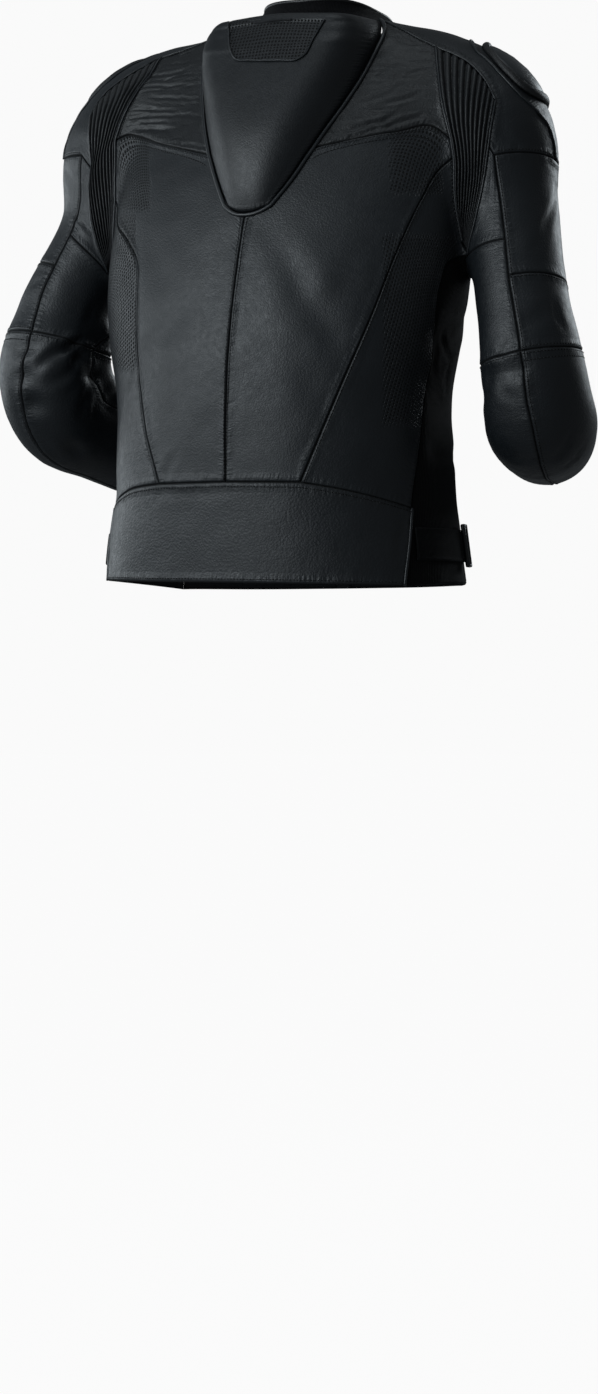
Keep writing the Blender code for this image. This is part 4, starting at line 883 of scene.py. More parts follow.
PANELS = {
    "centre_back": (
        "band_back", "-princess", "-hump_end -hump_lower yoke ribs_inner_mid", "-centre_back"),
    "side_back": ("band_outer", "-side_back", "ribs_inner_low ribs_foot", "-princess"),
    "front": (
        "-hem_front", "-side_front armhole_front", "neck_front shoulder_front_high shoulder_front_low",
        "front_edge"),
    "sleeve_upper": (
        "outer_upper", "-long_front_upper -long_front_pit", "cap_behind cap_before",
        "-long_back_upper -long_back_pit"),
    "sleeve_middle": ("outer_elbow", "-long_front_elbow", "outer_upper", "-long_back_elbow"),
    "sleeve_lower": ("outer_cuff", "-long_front_cuff", "outer_elbow", "-long_back_cuff"),
    "sleeve_under_lower": ("under_cuff", "-long_front_cuff", "under_elbow", "-long_back_cuff"),
    "shoulder": (
        "sleeve_top cap_behind", "-crest_down -crest_over", "-neck_side shoulder_front_high",
        "-ribs_outer_top -shoulder_outer -shoulder_inner"),
    "shoulder_cap": ("cap_before", "sleeve_top_front -shoulder_front_low", "-crest_over", "-crest_down"),
}
UNDER_SLEEVE = (
    ("under_elbow", "-long_front_elbow -long_front_upper", "gusset_back underarm -gusset_front",
     "-long_back_elbow -long_back_upper"),
    ("gusset_back", "-ribs_outer_low", "-sleeve_top", "-long_back_pit"),
    ("-gusset_front", "-long_front_pit", "-sleeve_top_front", "armhole_front"),
)
cloths = {}
for side in SIGN:
    for name, runs in PANELS.items():
        cloth = panel(runs, side).wear()
        cloths[f"{name}_{side}"] = cloth
        punch = name in ("centre_back", "side_back")
        add_cloth(f"leather_{name}_{side}", [cloth], [punched if punch else cowhide, lining],
                  [f"{name}_{side}"], holes=perforated if punch else None)
    unders = [panel(runs, side).wear() for runs in UNDER_SLEEVE]
    cloths[f"sleeve_under_upper_{side}"] = unders[0]
    add_cloth(f"leather_sleeve_under_upper_{side}", unders, [cowhide, lining],
              [f"sleeve_under_upper_{side}"])

# ==== Yokes ====
# Thinner, softer cowhide across the shoulder blades. The elastic panels beside it pull it into
# fine level wrinkles. It is sewn under the shoulder and over the back, with a double row below.
YOKE_RUNS = ("yoke", "-ribs_inner_top", "shoulder_inner", "-hump_upper")
YOKE_CELL = 1.7
WRINKLE_DEPTH, WRINKLE_SIZE, WRINKLE_WIDTH = 0.95, 17.0, 0.15
# Softer hide: less coat, so a little rougher and with a finer grain
soft_hide = leather("cowhide_soft_black", "#0f1214", "#171a1d", 0.42, 0.56, 0.0020, 0.00025)
for side in SIGN:
    yoke = panel(YOKE_RUNS, side, cell=YOKE_CELL, strips=(0.5, 1.1))
    flat = yoke.base.reshape(-1, 3)
    fine = np.zeros(len(flat))
    for seed in (21, 22, 23):
        wave, patches = ripple(flat * (0.13, 0.13, 1.0), WRINKLE_SIZE, seed), ripple(flat, 46, seed + 10)
        fine -= WRINKLE_DEPTH * np.exp(-((wave / WRINKLE_WIDTH) ** 2)) * np.clip(patches, 0, 1)
    yoke.wear(extra=fine.reshape(yoke.to_rim.shape) * np.clip((yoke.to_rim - 4) / 8, 0, 1))
    cloths[f"yoke_{side}"] = yoke
    add_cloth(f"yoke_leather_{side}", [yoke], [soft_hide, lining], [f"yoke_{side}"])

# ==== Elastic rib panels ====
# Soft leather sewn over elastic in ten narrow ribs, from the shoulder down behind the armhole, so
# that the shoulders can move. The ribs stand up round, with deep stitched grooves between them.
RIBS, RIB_CELLS, RIB_ROWS = 10, 8, 96
RIB_HEIGHT, RIB_BED, RIB_FADE, RIB_ROUNDNESS = 2.6, -1.6, 0.03, 0.62
RIB_RUNS = ("ribs_foot", "-ribs_outer_low -ribs_outer_top", "shoulder_outer",
            "-ribs_inner_low -ribs_inner_mid -ribs_inner_top")
for side in SIGN:
    ribs = panel(RIB_RUNS, side, shape=(RIBS * RIB_CELLS, RIB_ROWS), rounds=3, strips=())
    v, u = np.meshgrid(*ribs.shares, indexing="ij")
    wave = np.abs(np.sin(np.pi * RIBS * u)) ** RIB_ROUNDNESS
    ends = np.clip(np.minimum(v, 1 - v) / RIB_FADE, 0, 1) ** 0.5
    slack = 0.25 * ripple(ribs.base.reshape(-1, 3), 24, 31).reshape(wave.shape)
    ribs.raise_by(RIB_BED + ends * wave * (RIB_HEIGHT - RIB_BED + slack))
    cloths[f"rib_panel_{side}"] = ribs
    add_cloth(f"ribs_{side}", [ribs], [soft_hide, lining], [f"rib_panel_{side}"],
              thickness=1.0)

# ==== Side stretch panels ====
# Aramid stretch cloth from the armhole to the hem, knitted in fine upright ribs, matt and almost
# black. It is sewn under the leather on both sides.
STRETCH_RUNS = ("hem_side", "-side_front", "underarm", "-band_side -side_back")
KNIT_STEP = 2.6 * MM


def knit(name, dark, light, step):
    """Knitted or woven stretch cloth: matt, with a soft sheen and fine upright ribs along the cut."""
    material, tree, shader = new_material(name)
    cut = add_node(tree, "UVMap", {"uv_map": "cut"})
    ribs = add_node(tree, "TexWave", {"wave_profile": "SIN", "Scale": 0.314 / step, "Distortion": 0.6},
                    {"Vector": cut.outputs["UV"]})
    loops = add_node(tree, "TexVoronoi",
                     {"voronoi_dimensions": "2D", "Scale": 1 / (step * 0.5), "Randomness": 0.35},
                     {"Vector": cut.outputs["UV"]})
    height = add_node(tree, "Math", {"operation": "SUBTRACT"},
                      {0: ribs.outputs["Fac"], 1: loops.outputs["Distance"]})
    colour = add_node(tree, "Mix", {"data_type": "RGBA", 6: linear(dark), 7: linear(light)},
                      {0: height.outputs[0]})
    bump = add_node(tree, "Bump", {"Strength": 0.6, "Distance": 0.0005}, {"Height": height.outputs[0]})
    tree.links.new(colour.outputs[2], shader.inputs["Base Color"])
    tree.links.new(bump.outputs["Normal"], shader.inputs["Normal"])
    shader.inputs["Roughness"].default_value = 0.85
    shader.inputs["Specular IOR Level"].default_value = 0.1
    shader.inputs["Sheen Weight"].default_value = 0.03
    shader.inputs["Sheen Roughness"].default_value = 0.5
    return material


# Knitted aramid and polyamide: reads matt and nearly black, with a faint upright rib
stretch_knit = knit("stretch_aramid_knit", "#0d0d0e", "#191a1b", KNIT_STEP)
for side in SIGN:
    stretch = panel(STRETCH_RUNS, side).wear(dip=1.2, swell=0.0, extra=-0.3)
    cloths[f"side_stretch_{side}"] = stretch
    add_cloth(f"stretch_side_{side}", [stretch], [stretch_knit, lining],
              [f"side_stretch_{side}"])

# ==== Waistband ====
# A wide band of grained cowhide round the back of the waist, doubled over along its top edge and
# turned up at the hem. A row of stitches holds each edge, and its ends are corded.
BAND_RUNS = ("-right:hem_band left:hem_band", "-left:band_side",
             "-right:band_outer -right:band_back left:band_back left:band_outer", "-right:band_side")
BAND_STAND = 0.7
# Coarser embossed cowhide: the pebble shows from a step away and breaks up the highlights
grained = leather("cowhide_grained_black", "#13171a", "#1c2024", 0.38, 0.52, 0.0024, 0.00028)
band = panel(BAND_RUNS, cell=4.2, strips=(0.5, 1.2, 2.2, 3.0, 3.7))
band.wear(dip=0.5, swell=0.7, extra=BAND_STAND * np.clip(band.to_rim / 2, 0, 1))
cloths["waistband"] = band
add_cloth("waistband_leather", [band], [grained, lining], ["waistband_back"], thickness=1.8)

# ==== Hump ====
# A foam and plastic fairing behind the neck, covered in smooth cowhide stretched tight. It swells
# straight back from its rounded tip and is cut off flat over the collar. A perforated vent panel
# is let into its top with a corded edge.
HUMP_RUNS = ("right:hump_end -left:hump_end", "-left:hump_lower -left:hump_upper",
             "right:neck_back -left:neck_back", "-right:hump_lower -right:hump_upper")
HUMP_RISE, HUMP_TOP, HUMP_LEVEL, HUMP_CELL, HUMP_GUTTER = 44.0, 0.975, 0.8, 2.1, 1.5
hump = panel(HUMP_RUNS, cell=HUMP_CELL, shape=(92, 112), rounds=0, strips=(0.3, 0.7, 1.3))
v, u = np.meshgrid(*hump.shares, indexing="ij")
ridge = hump.base[:, hump.base.shape[1] // 2, 1][:, None]
across = 1 - np.abs(2 * u - 1) ** (2.6 + 11 * v**3)
along = (1 - (1 - v) ** 2) ** 0.8
close = np.clip((1 - v) / (1 - HUMP_TOP), 0, 1)
lifted = hump.base.copy()
lifted[..., 1] += (HUMP_RISE * along + HUMP_LEVEL * v**2 * (ridge - hump.base[..., 1])) * across * close
for _ in range(2):
    mean = (lifted[:-2, 1:-1] + lifted[2:, 1:-1] + lifted[1:-1, :-2] + lifted[1:-1, 2:]) / 4
    lifted[1:-1, 1:-1] += 0.5 * (mean - lifted[1:-1, 1:-1])
over, up = np.gradient(lifted, axis=1), np.gradient(lifted, axis=0)
facing = np.cross(over, up)
facing *= np.sign((facing * hump.normals).sum())
facing /= np.linalg.norm(facing, axis=-1)[..., None]
slack = 0.25 * ripple(lifted.reshape(-1, 3), 70, 12).reshape(u.shape)
lifted += facing * (slack * np.clip(hump.to_rim / 10, 0, 1))[..., None]
hump.points, hump.normals = lifted, facing

# The vent panel's outline in the picture, from its top left round to its top right
VENT = ((228.5, 20.6), (229, 34), (230.5, 50), (236, 59.5), (250, 60.5),
        (280, 60.5), (296, 60), (303, 56.5), (314, 38), (325, 19.5))
VENT_DIP = 0.7
rows, columns = lifted.shape[:2]
ids = np.arange(rows * columns).reshape(rows, columns)
quads = np.stack([ids[:-1, :-1], ids[:-1, 1:], ids[1:, 1:], ids[1:, :-1]], -1).reshape(-1, 4)
skin = BVHTree.FromPolygons(lifted.reshape(-1, 3).tolist(), quads.tolist())


def on_skin(pixels):
    """Points and normals of the hump that the camera sees at places in the picture."""
    found = []
    for ahead in sight_line(pixels):
        place, normal, _, _ = skin.ray_cast(Vector(CAMERA_PLACE), Vector(ahead))
        if place is not None:
            found.append((place, normal if normal.dot(Vector(ahead)) < 0 else -normal))
    return (np.array(part, float) for part in zip(*found))


outline = np.array(VENT)
round_outline = read_rows(span_of(outline), outline, np.linspace(0, span_of(outline)[-1], 90))
vent_path, vent_normals = on_skin(even_points(round_outline, 80))


def in_vent(points):
    """1 inside the vent's outline as seen from behind, 0 outside."""
    x, y = picture_place(points).T
    inside = np.zeros(len(points), bool)
    for (x0, y0), (x1, y1) in zip(outline, np.roll(outline, -1, axis=0)):
        crosses = (y0 > y) != (y1 > y)
        inside ^= crosses & (x < (x1 - x0) * (y - y0) / np.where(y1 == y0, 1e-9, y1 - y0) + x0)
    return (inside & (points[:, 1] > 60)).astype(float)


vent = in_vent(lifted.reshape(-1, 3)).reshape(u.shape)
gutter = HUMP_GUTTER * np.exp(-((hump.to_rim / 1.5) ** 2)) * np.clip((1 - v) / 0.06 - 1, 0, 1)
hump.points = lifted - facing * (VENT_DIP * vent + gutter)[..., None]
cloths["hump"] = hump
# Smooth stretched cowhide: the same black, but tighter, so finer grained and glossier
tight_hide = leather("cowhide_smooth_black", "#0f1215", "#171b1f", 0.40, 0.50, 0.0018, 0.00014, holes=True)
add_cloth("hump_leather", [hump], [tight_hide, lining], ["hump"], holes=in_vent, thickness=1.2)

# ==== Piping ====
# Strips of leather folded round a cord and sewn into the seams: thick round the hump, thinner
# over the shoulders, beside the ribs and down the ends of the waistband.
PIPE_SIDES = 10
# the roll round the hump stands this far outside its seam, so that a gutter shows between them
PIPING, PIPING_STAND = 2.1, 2.3


def add_tube(name, path, normals, radius, material, squash=1.0, sink=0.0, step=2.5):
    """A tube of leather along a path."""
    along = span_of(path)
    count = max(4, round(along[-1] / step))
    marks = np.linspace(0, along[-1], count + 1)
    path = read_rows(along, path, marks)
    normals = np.stack([np.interp(marks, along, column) for column in normals.T], -1)
    ahead = np.gradient(path, axis=0)
    ahead /= np.linalg.norm(ahead, axis=1)[:, None]
    normals -= (normals * ahead).sum(1)[:, None] * ahead
    normals /= np.linalg.norm(normals, axis=1)[:, None]
    beside = np.cross(ahead, normals)
    turns = np.linspace(0, 2 * np.pi, PIPE_SIDES, endpoint=False)
    middle = path + normals * (radius * squash - sink)
    across, out = (way(turns)[None, :, None] for way in (np.cos, np.sin))
    rings = middle[:, None] + radius * (across * beside[:, None] + squash * out * normals[:, None])
    ids = np.arange((count + 1) * PIPE_SIDES).reshape(count + 1, PIPE_SIDES)
    turned = np.roll(ids, -1, axis=1)
    faces = np.stack([ids[:-1], ids[1:], turned[1:], turned[:-1]], -1).reshape(-1, 4)
    item = fill_mesh(name, rings.reshape(-1, 3), faces.tolist(), [material])
    cut = item.data.uv_layers.new(name="cut")
    wrapped = np.stack(np.broadcast_arrays(turns[None] * radius, marks[:, None]), -1).reshape(-1, 2)
    cut.data.foreach_set("uv", (wrapped[faces.ravel()] * MM).ravel())
    wall = item.modifiers.new("thickness", "SOLIDIFY")
    wall.thickness, wall.offset = min(0.7, radius / 2) * MM, -1
    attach(item, "jacket")
    return item


def seam_run(*names):
    """Seams end to end as one path with its normals, a little above the form."""
    path = np.concatenate([seams[name.lstrip("-")][::-1 if name.startswith("-") else 1] for name in names])
    keep = np.r_[True, np.linalg.norm(np.diff(path, axis=0), axis=1) > 0.2]
    path = path[keep]
    return path + outward(path) * relief(path)[:, None], outward(path)


piping_hide = leather("cowhide_piping_black", "#15191c", "#1e2226", 0.30, 0.42, 0.0014, 0.00008)
path, normals = seam_run("left:hump_upper", "left:hump_lower", "left:hump_end",
                         "-right:hump_end", "-right:hump_lower", "-right:hump_upper")
away = np.cross(np.gradient(path, axis=0), normals)
away /= np.linalg.norm(away, axis=1)[:, None]
away *= np.sign((away * (path - path.mean(0))).sum())
add_tube("hump_piping", path + away * PIPING_STAND, normals, PIPING, piping_hide,
         squash=0.8, sink=0.5)
for side in SIGN:
    for name, names, radius in (
        ("shoulder_piping", ("crest_over", "crest_down"), 1.4),
        ("rib_piping_inner", ("ribs_inner_top", "ribs_inner_mid", "ribs_inner_low"), 1.3),
        ("rib_piping_outer", ("ribs_outer_top", "ribs_outer_low"), 1.2),
        ("rib_piping_top", ("shoulder_inner", "shoulder_outer"), 1.2),
        ("waistband_piping", ("band_side",), 1.7),
    ):
        path, normals = seam_run(*(f"{side}:{part}" for part in names))
        add_tube(f"{name}_{side}", path, normals, radius, piping_hide, squash=0.9, sink=0.5)
add_tube("hump_vent_cord", vent_path, vent_normals, 1.0, piping_hide, sink=0.1, step=1.5)

# ==== Shoulder cups ====
# Moulded polyurethane cups over the points of the shoulders: a plain satin face in a thick
# textured rim, with a gutter between them. The same mould, mirrored, makes both.
CAP_RUNS = ("cap_before", "sleeve_top_front -shoulder_front_low", "-crest_over", "-crest_down")
CUP_ACROSS, CUP_ALONG, CUP_SPOKES = (0.07, 0.81), (0.39, 0.91), 72
# share of the way out from the middle, height over the leather
CUP_PROFILE = ((0.0, 6.4), (0.2, 6.3), (0.4, 6.0), (0.58, 5.4), (0.70, 4.7), (0.765, 4.1),
               (0.785, 3.2), (0.80, 2.9), (0.815, 3.4), (0.835, 5.0), (0.86, 5.7), (0.90, 5.7),
               (0.94, 5.0), (0.97, 3.7), (0.99, 2.2), (1.0, 0.4), (0.97, 0.1))
FACE_RINGS = 7
SPREAD = 0.08                             # how much the roughness of a moulding varies


def moulded(name, dark, light, rough, grain, depth):
    """Moulded rubbery plastic with a sparked texture from its mould."""
    material, tree, shader = new_material(name)
    place = add_node(tree, "TexCoord").outputs["Object"]
    spark = add_node(tree, "TexNoise", {"Scale": 1 / grain, "Detail": 3.0, "Roughness": 0.7},
                     {"Vector": place})
    colour = add_node(tree, "Mix", {"data_type": "RGBA", 6: linear(dark), 7: linear(light)},
                      {0: spark.outputs["Fac"]})
    bump = add_node(tree, "Bump", {"Strength": 0.7, "Distance": depth}, {"Height": spark.outputs["Fac"]})
    gloss = add_node(tree, "MapRange", {"To Min": rough - SPREAD, "To Max": rough + SPREAD},
                     {"Value": spark.outputs["Fac"]})
    tree.links.new(colour.outputs[2], shader.inputs["Base Color"])
    tree.links.new(gloss.outputs[0], shader.inputs["Roughness"])
    tree.links.new(bump.outputs["Normal"], shader.inputs["Normal"])
    return material


# Polyurethane as moulded: the rim sparked and dark, the face smoother and a little greyer
cup_rim = moulded("polyurethane_sparked_black", "#090a0b", "#17191b", 0.50, 0.0026, 0.0008)
cup_face = moulded("polyurethane_satin_grey", "#26292c", "#34383b", 0.40, 0.0016, 0.0002)


def spanned(lines, uv):
    """Points spanned between four lines, by shares of their lengths."""
    u, v = uv[:, :1], uv[:, 1:]
    low, right, high, left = lines

    def read(path, share):
        along = span_of(path)
        return np.stack([np.interp(share[:, 0], along / along[-1], column) for column in path.T], -1)

    return (read(low, u) * (1 - v) + read(high, u) * v + read(left, v) * (1 - u) + read(right, v) * u
            - low[0] * (1 - u) * (1 - v) - low[-1] * u * (1 - v) - high[0] * (1 - u) * v - high[-1] * u * v)


for side in SIGN:
    lines = [np.concatenate([path for _, path in line]) for line in find_lines(CAP_RUNS, side)]
    turns = np.linspace(0, 2 * np.pi, CUP_SPOKES, endpoint=False)
    around = np.stack([np.cos(turns), np.sin(turns)], -1)
    around /= (np.abs(around) ** 3).sum(1)[:, None] ** (1 / 3)
    shares, heights = np.array(CUP_PROFILE[1:]).T
    uv = np.concatenate([[[0.5, 0.5]], (0.5 + 0.5 * shares[:, None, None] * around[None]).reshape(-1, 2)])
    spread = np.array([CUP_ACROSS, CUP_ALONG])
    uv = spread[:, 0] + uv * (spread[:, 1] - spread[:, 0])
    seat = settle(spanned(lines, uv))
    rise = np.r_[CUP_PROFILE[0][1], np.repeat(heights, CUP_SPOKES)]
    points = seat + outward(seat) * rise[:, None]
    ids = 1 + np.arange(len(shares) * CUP_SPOKES).reshape(len(shares), CUP_SPOKES)
    turned = np.roll(ids, -1, axis=1)
    faces = [(0, ids[0, i], turned[0, i]) for i in range(CUP_SPOKES)]
    faces += np.stack([ids[:-1], ids[1:], turned[1:], turned[:-1]], -1).reshape(-1, 4).tolist()
    faces.append(ids[-1].tolist()[::-1])
    a, b, c = (points[[face[i] for face in faces]] for i in range(3))
    if (np.cross(b - a, c - a) * outward(a)).sum() < 0:
        faces = [face[::-1] for face in faces]
    cup = fill_mesh(f"shoulder_cup_shell_{side}", points, faces, [cup_rim, cup_face])
    for n, face in enumerate(cup.data.polygons):
        face.material_index = int(n < CUP_SPOKES * FACE_RINGS)
    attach(cup, "jacket")
    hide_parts(f"shoulder_cup_{side}")

# ==== Collar ====
# Two layers of black neoprene sewn up short round the neck, plain outside, with a glossy bound
# edge along the top. Its ends meet at the zip.
COLLAR_FOOT = ("left:neck_front left:neck_side left:neck_back "
               "-right:neck_back -right:neck_side -right:neck_front")
COLLAR_RUNS = (COLLAR_FOOT, "right:collar_edge", "left:collar_top -right:collar_top", "left:collar_edge")
COLLAR_WALL, BINDING = 3.0, 2.3
# Neoprene faced with polyester jersey: matt, soft and nearly black
neoprene = knit("neoprene_jersey_black", "#08080a", "#121316", 1.6 * MM)
# Bias tape of coated polyester: glossier than the jersey that it binds
binding = moulded("binding_tape_black", "#0b0b0d", "#17181b", 0.36, 0.0012, 0.0002)
collar = panel(COLLAR_RUNS, cell=3.0, strips=(0.5, 1.2, 2.0))
collar.raise_by(-0.6 * np.exp(-((collar.up / 1.2) ** 2)) + 0.35 * np.exp(-(((collar.up - 7) / 4) ** 2)))
cloths["collar"] = collar
add_cloth("collar_neoprene", [collar], [neoprene, neoprene], ["collar"],
          thickness=COLLAR_WALL)
path = np.concatenate([seams["left:collar_top"], seams["right:collar_top"][::-1][1:]])
normals = outward(path)
add_tube("collar_binding", path - normals * (COLLAR_WALL / 2 + BINDING), normals, BINDING, binding,
         step=3.0)

# ==== Centre zip ====
# A moulded-tooth zip, closed: two woven tapes under the front edges and one row of meshed teeth,
# with its slider at the top. The slider and the pull tab that swings on it are die-cast.
ZIP_RUNS = ("zip_low", "left:front_edge left:collar_edge", "zip_top", "right:front_edge right:collar_edge")
TOOTH, TOOTH_PITCH, TOOTH_RISE, TOOTH_REACH = (3.6, 1.35, 2.0), 1.9, 0.6, 0.9
tape = panel(ZIP_RUNS, shape=(8, 150), rounds=0, strips=())
tape.raise_by(np.full(tape.to_rim.shape, -1.0))
add_cloth("zip_tape", [tape], [stretch_knit, lining], ["zip"], thickness=1.0)


def as_template(item):
    """The points and faces of a small modelled shape, which is then removed."""
    bpy.ops.object.mode_set(mode="OBJECT")
    mesh = item.data
    points = np.array([vertex.co[:] for vertex in mesh.vertices])
    faces = [tuple(face.vertices) for face in mesh.polygons]
    bpy.data.objects.remove(item, do_unlink=True)
    return points, faces


def repeat(name, template, middles, ahead, normals, material):
    """One mesh of many copies of a small shape: x along, y across and z out."""
    shape, faces = template
    normals = normals - (normals * ahead).sum(1)[:, None] * ahead
    normals /= np.linalg.norm(normals, axis=1)[:, None]
    beside = np.cross(normals, ahead)
    axes = np.stack([ahead, beside, normals], 1)
    points = middles[:, None] + np.einsum("vk,nkj->nvj", shape, axes)
    starts = np.arange(len(middles)) * len(shape)
    everywhere = [tuple(int(start + i) for i in face) for start in starts for face in faces]
    item = fill_mesh(name, points.reshape(-1, 3), everywhere, [material])
    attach(item, "jacket")
    return item


def marks_along(path, normals, pitch):
    """Middles, directions and normals at an even pitch along a path."""
    along = span_of(path)
    count = max(1, int(along[-1] / pitch))
    marks = (np.arange(count) + 0.5) * along[-1] / count

    def read(table, at):
        return np.stack([np.interp(at, along, column) for column in table.T], -1)

    middles, ways = read(path, marks), read(normals, marks)
    ahead = read(path, marks + 0.5) - read(path, marks - 0.5)
    ahead /= np.maximum(np.linalg.norm(ahead, axis=1), 1e-6)[:, None]
    return middles, ahead, ways


bpy.ops.object.select_all(action="DESELECT")
bpy.ops.mesh.primitive_cube_add(size=1)
tooth = bpy.context.object
bpy.ops.object.mode_set(mode="EDIT")
bpy.ops.transform.resize(value=(TOOTH[1], TOOTH[0], TOOTH[2]))
bpy.ops.mesh.bevel(offset=0.3, segments=1)
tooth_template = as_template(tooth)

# Acetal teeth and a die-cast slider blackened: both dark, the metal with a broad metallic glint
acetal = moulded("acetal_teeth_black", "#0d0e0f", "#17181a", 0.30, 0.0010, 0.00005)


SCRATCH = 1.2 * MM


def blackened(name, base, rough):
    """Blackened die-cast zinc: a dark metal, brushed by wear."""
    material, tree, shader = new_material(name)
    place = add_node(tree, "TexCoord").outputs["Object"]
    long = add_node(tree, "Mapping", {"Scale": (1.0, 1.0, 0.08)}, {"Vector": place})
    wear = add_node(tree, "TexNoise", {"Scale": 1 / SCRATCH, "Detail": 3.0}, {"Vector": long.outputs[0]})
    gloss = add_node(tree, "MapRange", {"To Min": rough - 0.1, "To Max": rough + 0.12},
                     {"Value": wear.outputs["Fac"]})
    bump = add_node(tree, "Bump", {"Strength": 0.3, "Distance": 0.0001}, {"Height": wear.outputs["Fac"]})
    tree.links.new(gloss.outputs[0], shader.inputs["Roughness"])
    tree.links.new(bump.outputs["Normal"], shader.inputs["Normal"])
    shader.inputs["Base Color"].default_value = linear(base)
    shader.inputs["Metallic"].default_value = 1.0
    return material


zinc = blackened("zinc_blackened", "#6a6c70", 0.34)
middle_line = tape.points[:, tape.points.shape[1] // 2]
middle_ways = tape.normals[:, tape.points.shape[1] // 2]
middles, ahead, ways = marks_along(middle_line[:-2], middle_ways[:-2], TOOTH_PITCH)
beside = np.cross(ways, ahead)
hand = np.where(np.arange(len(middles)) % 2 == 0, 1.0, -1.0)[:, None]
seats = middles + ways * TOOTH_RISE + beside * hand * TOOTH_REACH
repeat("zip_teeth", tooth_template, seats, ahead, ways, acetal)
for name in ("zip_slider", "zip_pull"):
    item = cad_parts[name]
    if not item.data.materials:
        item.data.materials.append(zinc)
    for slot in item.material_slots:
        slot.material = zinc

# ==== Waist adjusters ====
# Elastic webbing from under each end of the waistband, over the stretch panel to a moulded loop.
# It doubles back through the loop and closes on itself, and is sewn down along both edges.
STRAP_BEARINGS = {"left": (71.8, 96.0), "right": (71.8, 103.0)}
STRAP_HEIGHTS = (-561.0, -527.0)
STRAP_SEAT, STRAP_WALL = 0.7, 2.4
LOOP_SIZE, LOOP_BAR, LOOP_ROUNDING, LOOP_GAP = (13.0, 5.0, 46.0), 3.4, 1.5, 0.6
webbing = knit("webbing_polyamide_black", "#0a0b0c", "#1a1c1e", 1.8 * MM)
gloss_plastic = moulded("acetal_loop_gloss_black", "#101112", "#191b1d", 0.18, 0.004, 0.00004)
for side, sign in SIGN.items():
    bearings, heights = np.linspace(*STRAP_BEARINGS[side], 26), np.linspace(*STRAP_HEIGHTS, 16)
    grid = np.array([[on_body(bearing, height) * (sign, 1, 1) for bearing in bearings] for height in heights])
    strap = Cloth(settle(grid.reshape(-1, 3)).reshape(grid.shape), (0.5, 1.2), 2.2)
    edge = strap.to_rim
    height = STRAP_SEAT + STRAP_WALL + relief(strap.base.reshape(-1, 3)).reshape(edge.shape)
    height += 0.7 * np.exp(-(((edge - 1.6) / 1.2) ** 2)) - 0.5 * np.exp(-((edge / 0.6) ** 2))
    strap.raise_by(height)
    cloths[f"strap_{side}"] = strap
    add_cloth(f"strap_webbing_{side}", [strap], [webbing], [f"adjuster_strap_{side}"],
              thickness=STRAP_WALL)

    place = settle([on_body(STRAP_BEARINGS[side][1] - 3, sum(STRAP_HEIGHTS) / 2) * (sign, 1, 1)])
    out = outward(place)[0]
    side_on = np.cross(out, UPWARD)
    side_on /= np.linalg.norm(side_on)
    axes = np.array([side_on, out, np.cross(side_on, out)])
    bpy.ops.object.select_all(action="DESELECT")
    bpy.ops.mesh.primitive_cube_add(size=1)
    loop = bpy.context.object
    loop.name = loop.data.name = f"strap_loop_{side}"
    bpy.ops.object.mode_set(mode="EDIT")
    bpy.ops.transform.resize(value=LOOP_SIZE)
    bpy.ops.mesh.select_mode(type="FACE")
    bpy.ops.mesh.select_all(action="DESELECT")
    bpy.ops.object.mode_set(mode="OBJECT")
    for face in loop.data.polygons:
        face.select = abs(face.normal.y) > 0.9
    bpy.ops.object.mode_set(mode="EDIT")
    bpy.ops.mesh.inset(thickness=LOOP_BAR)
    bpy.ops.mesh.bridge_edge_loops()
    bpy.ops.object.mode_set(mode="OBJECT")
    corners = np.array([vertex.co[:] for vertex in loop.data.vertices])
    centre = place[0] + out * (STRAP_SEAT + STRAP_WALL + LOOP_GAP + LOOP_SIZE[1] / 2)
    loop.data.vertices.foreach_set("co", ((centre + corners @ axes) * MM).ravel())
    loop.data.materials.append(gloss_plastic)
    loop.data.shade_smooth()
    rounding = loop.modifiers.new("rounding", "BEVEL")
    rounding.width, rounding.segments = LOOP_ROUNDING * MM, 3
    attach(loop, "jacket")
    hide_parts(f"adjuster_loop_{side}")

# ==== Stitching ====
# Bonded polyester thread, black, in lockstitch 3 mm beside the seams, about seven stitches in
# 25 mm. Each stitch is a short rounded bead that lies in its row's dip, between two needle holes,
# which are drawn as matt black beads of painted shade.
STITCH, NEEDLE_HOLE, STITCH_PITCH, STITCH_RISE = (2.3, 1.1, 0.8), (1.5, 1.6, 0.6), 3.7, 0.2
VENT_STITCHES = 2.6                       # how far below the vent's cord its stitches run
thread = moulded("thread_bonded_polyester_black", "#15171a", "#23262a", 0.36, 0.0008, 0.00008)
# Matt near-black beads at the needle holes: painted shade of the holes
needle_hole_shade = moulded("needle_hole_painted_shade_black", "#020202", "#030303", 0.95, 0.002, 0.00005)
beads = []
for size in (STITCH, NEEDLE_HOLE):
    bpy.ops.object.select_all(action="DESELECT")
    bpy.ops.mesh.primitive_uv_sphere_add(segments=5, ring_count=3, radius=0.5, rotation=(0, math.pi / 2, 0))
    bead = bpy.context.object
    bpy.ops.object.transform_apply(location=False, rotation=True, scale=False)
    bpy.ops.object.mode_set(mode="EDIT")
    bpy.ops.transform.resize(value=size)
    beads.append(as_template(bead))
# panel, then the seams that it is stitched beside
ROWS = {
    "centre_back": "centre_back yoke hump_lower hump_end",
    "side_back": "princess ribs_inner_low",
    "yoke": "hump_upper ribs_inner_top shoulder_inner",
    "sleeve_upper": "long_back_upper long_back_pit long_front_upper long_front_pit",
    "sleeve_middle": "outer_upper long_back_elbow outer_elbow long_front_elbow",
    "sleeve_lower": "outer_elbow long_back_cuff outer_cuff long_front_cuff",
    "sleeve_under_lower": "under_cuff under_elbow",
    "shoulder": "crest_over crest_down cap_behind shoulder_inner",
    "shoulder_cap": "cap_before shoulder_front_low",
    "front": "front_edge hem_front shoulder_front_high side_front neck_front",
}
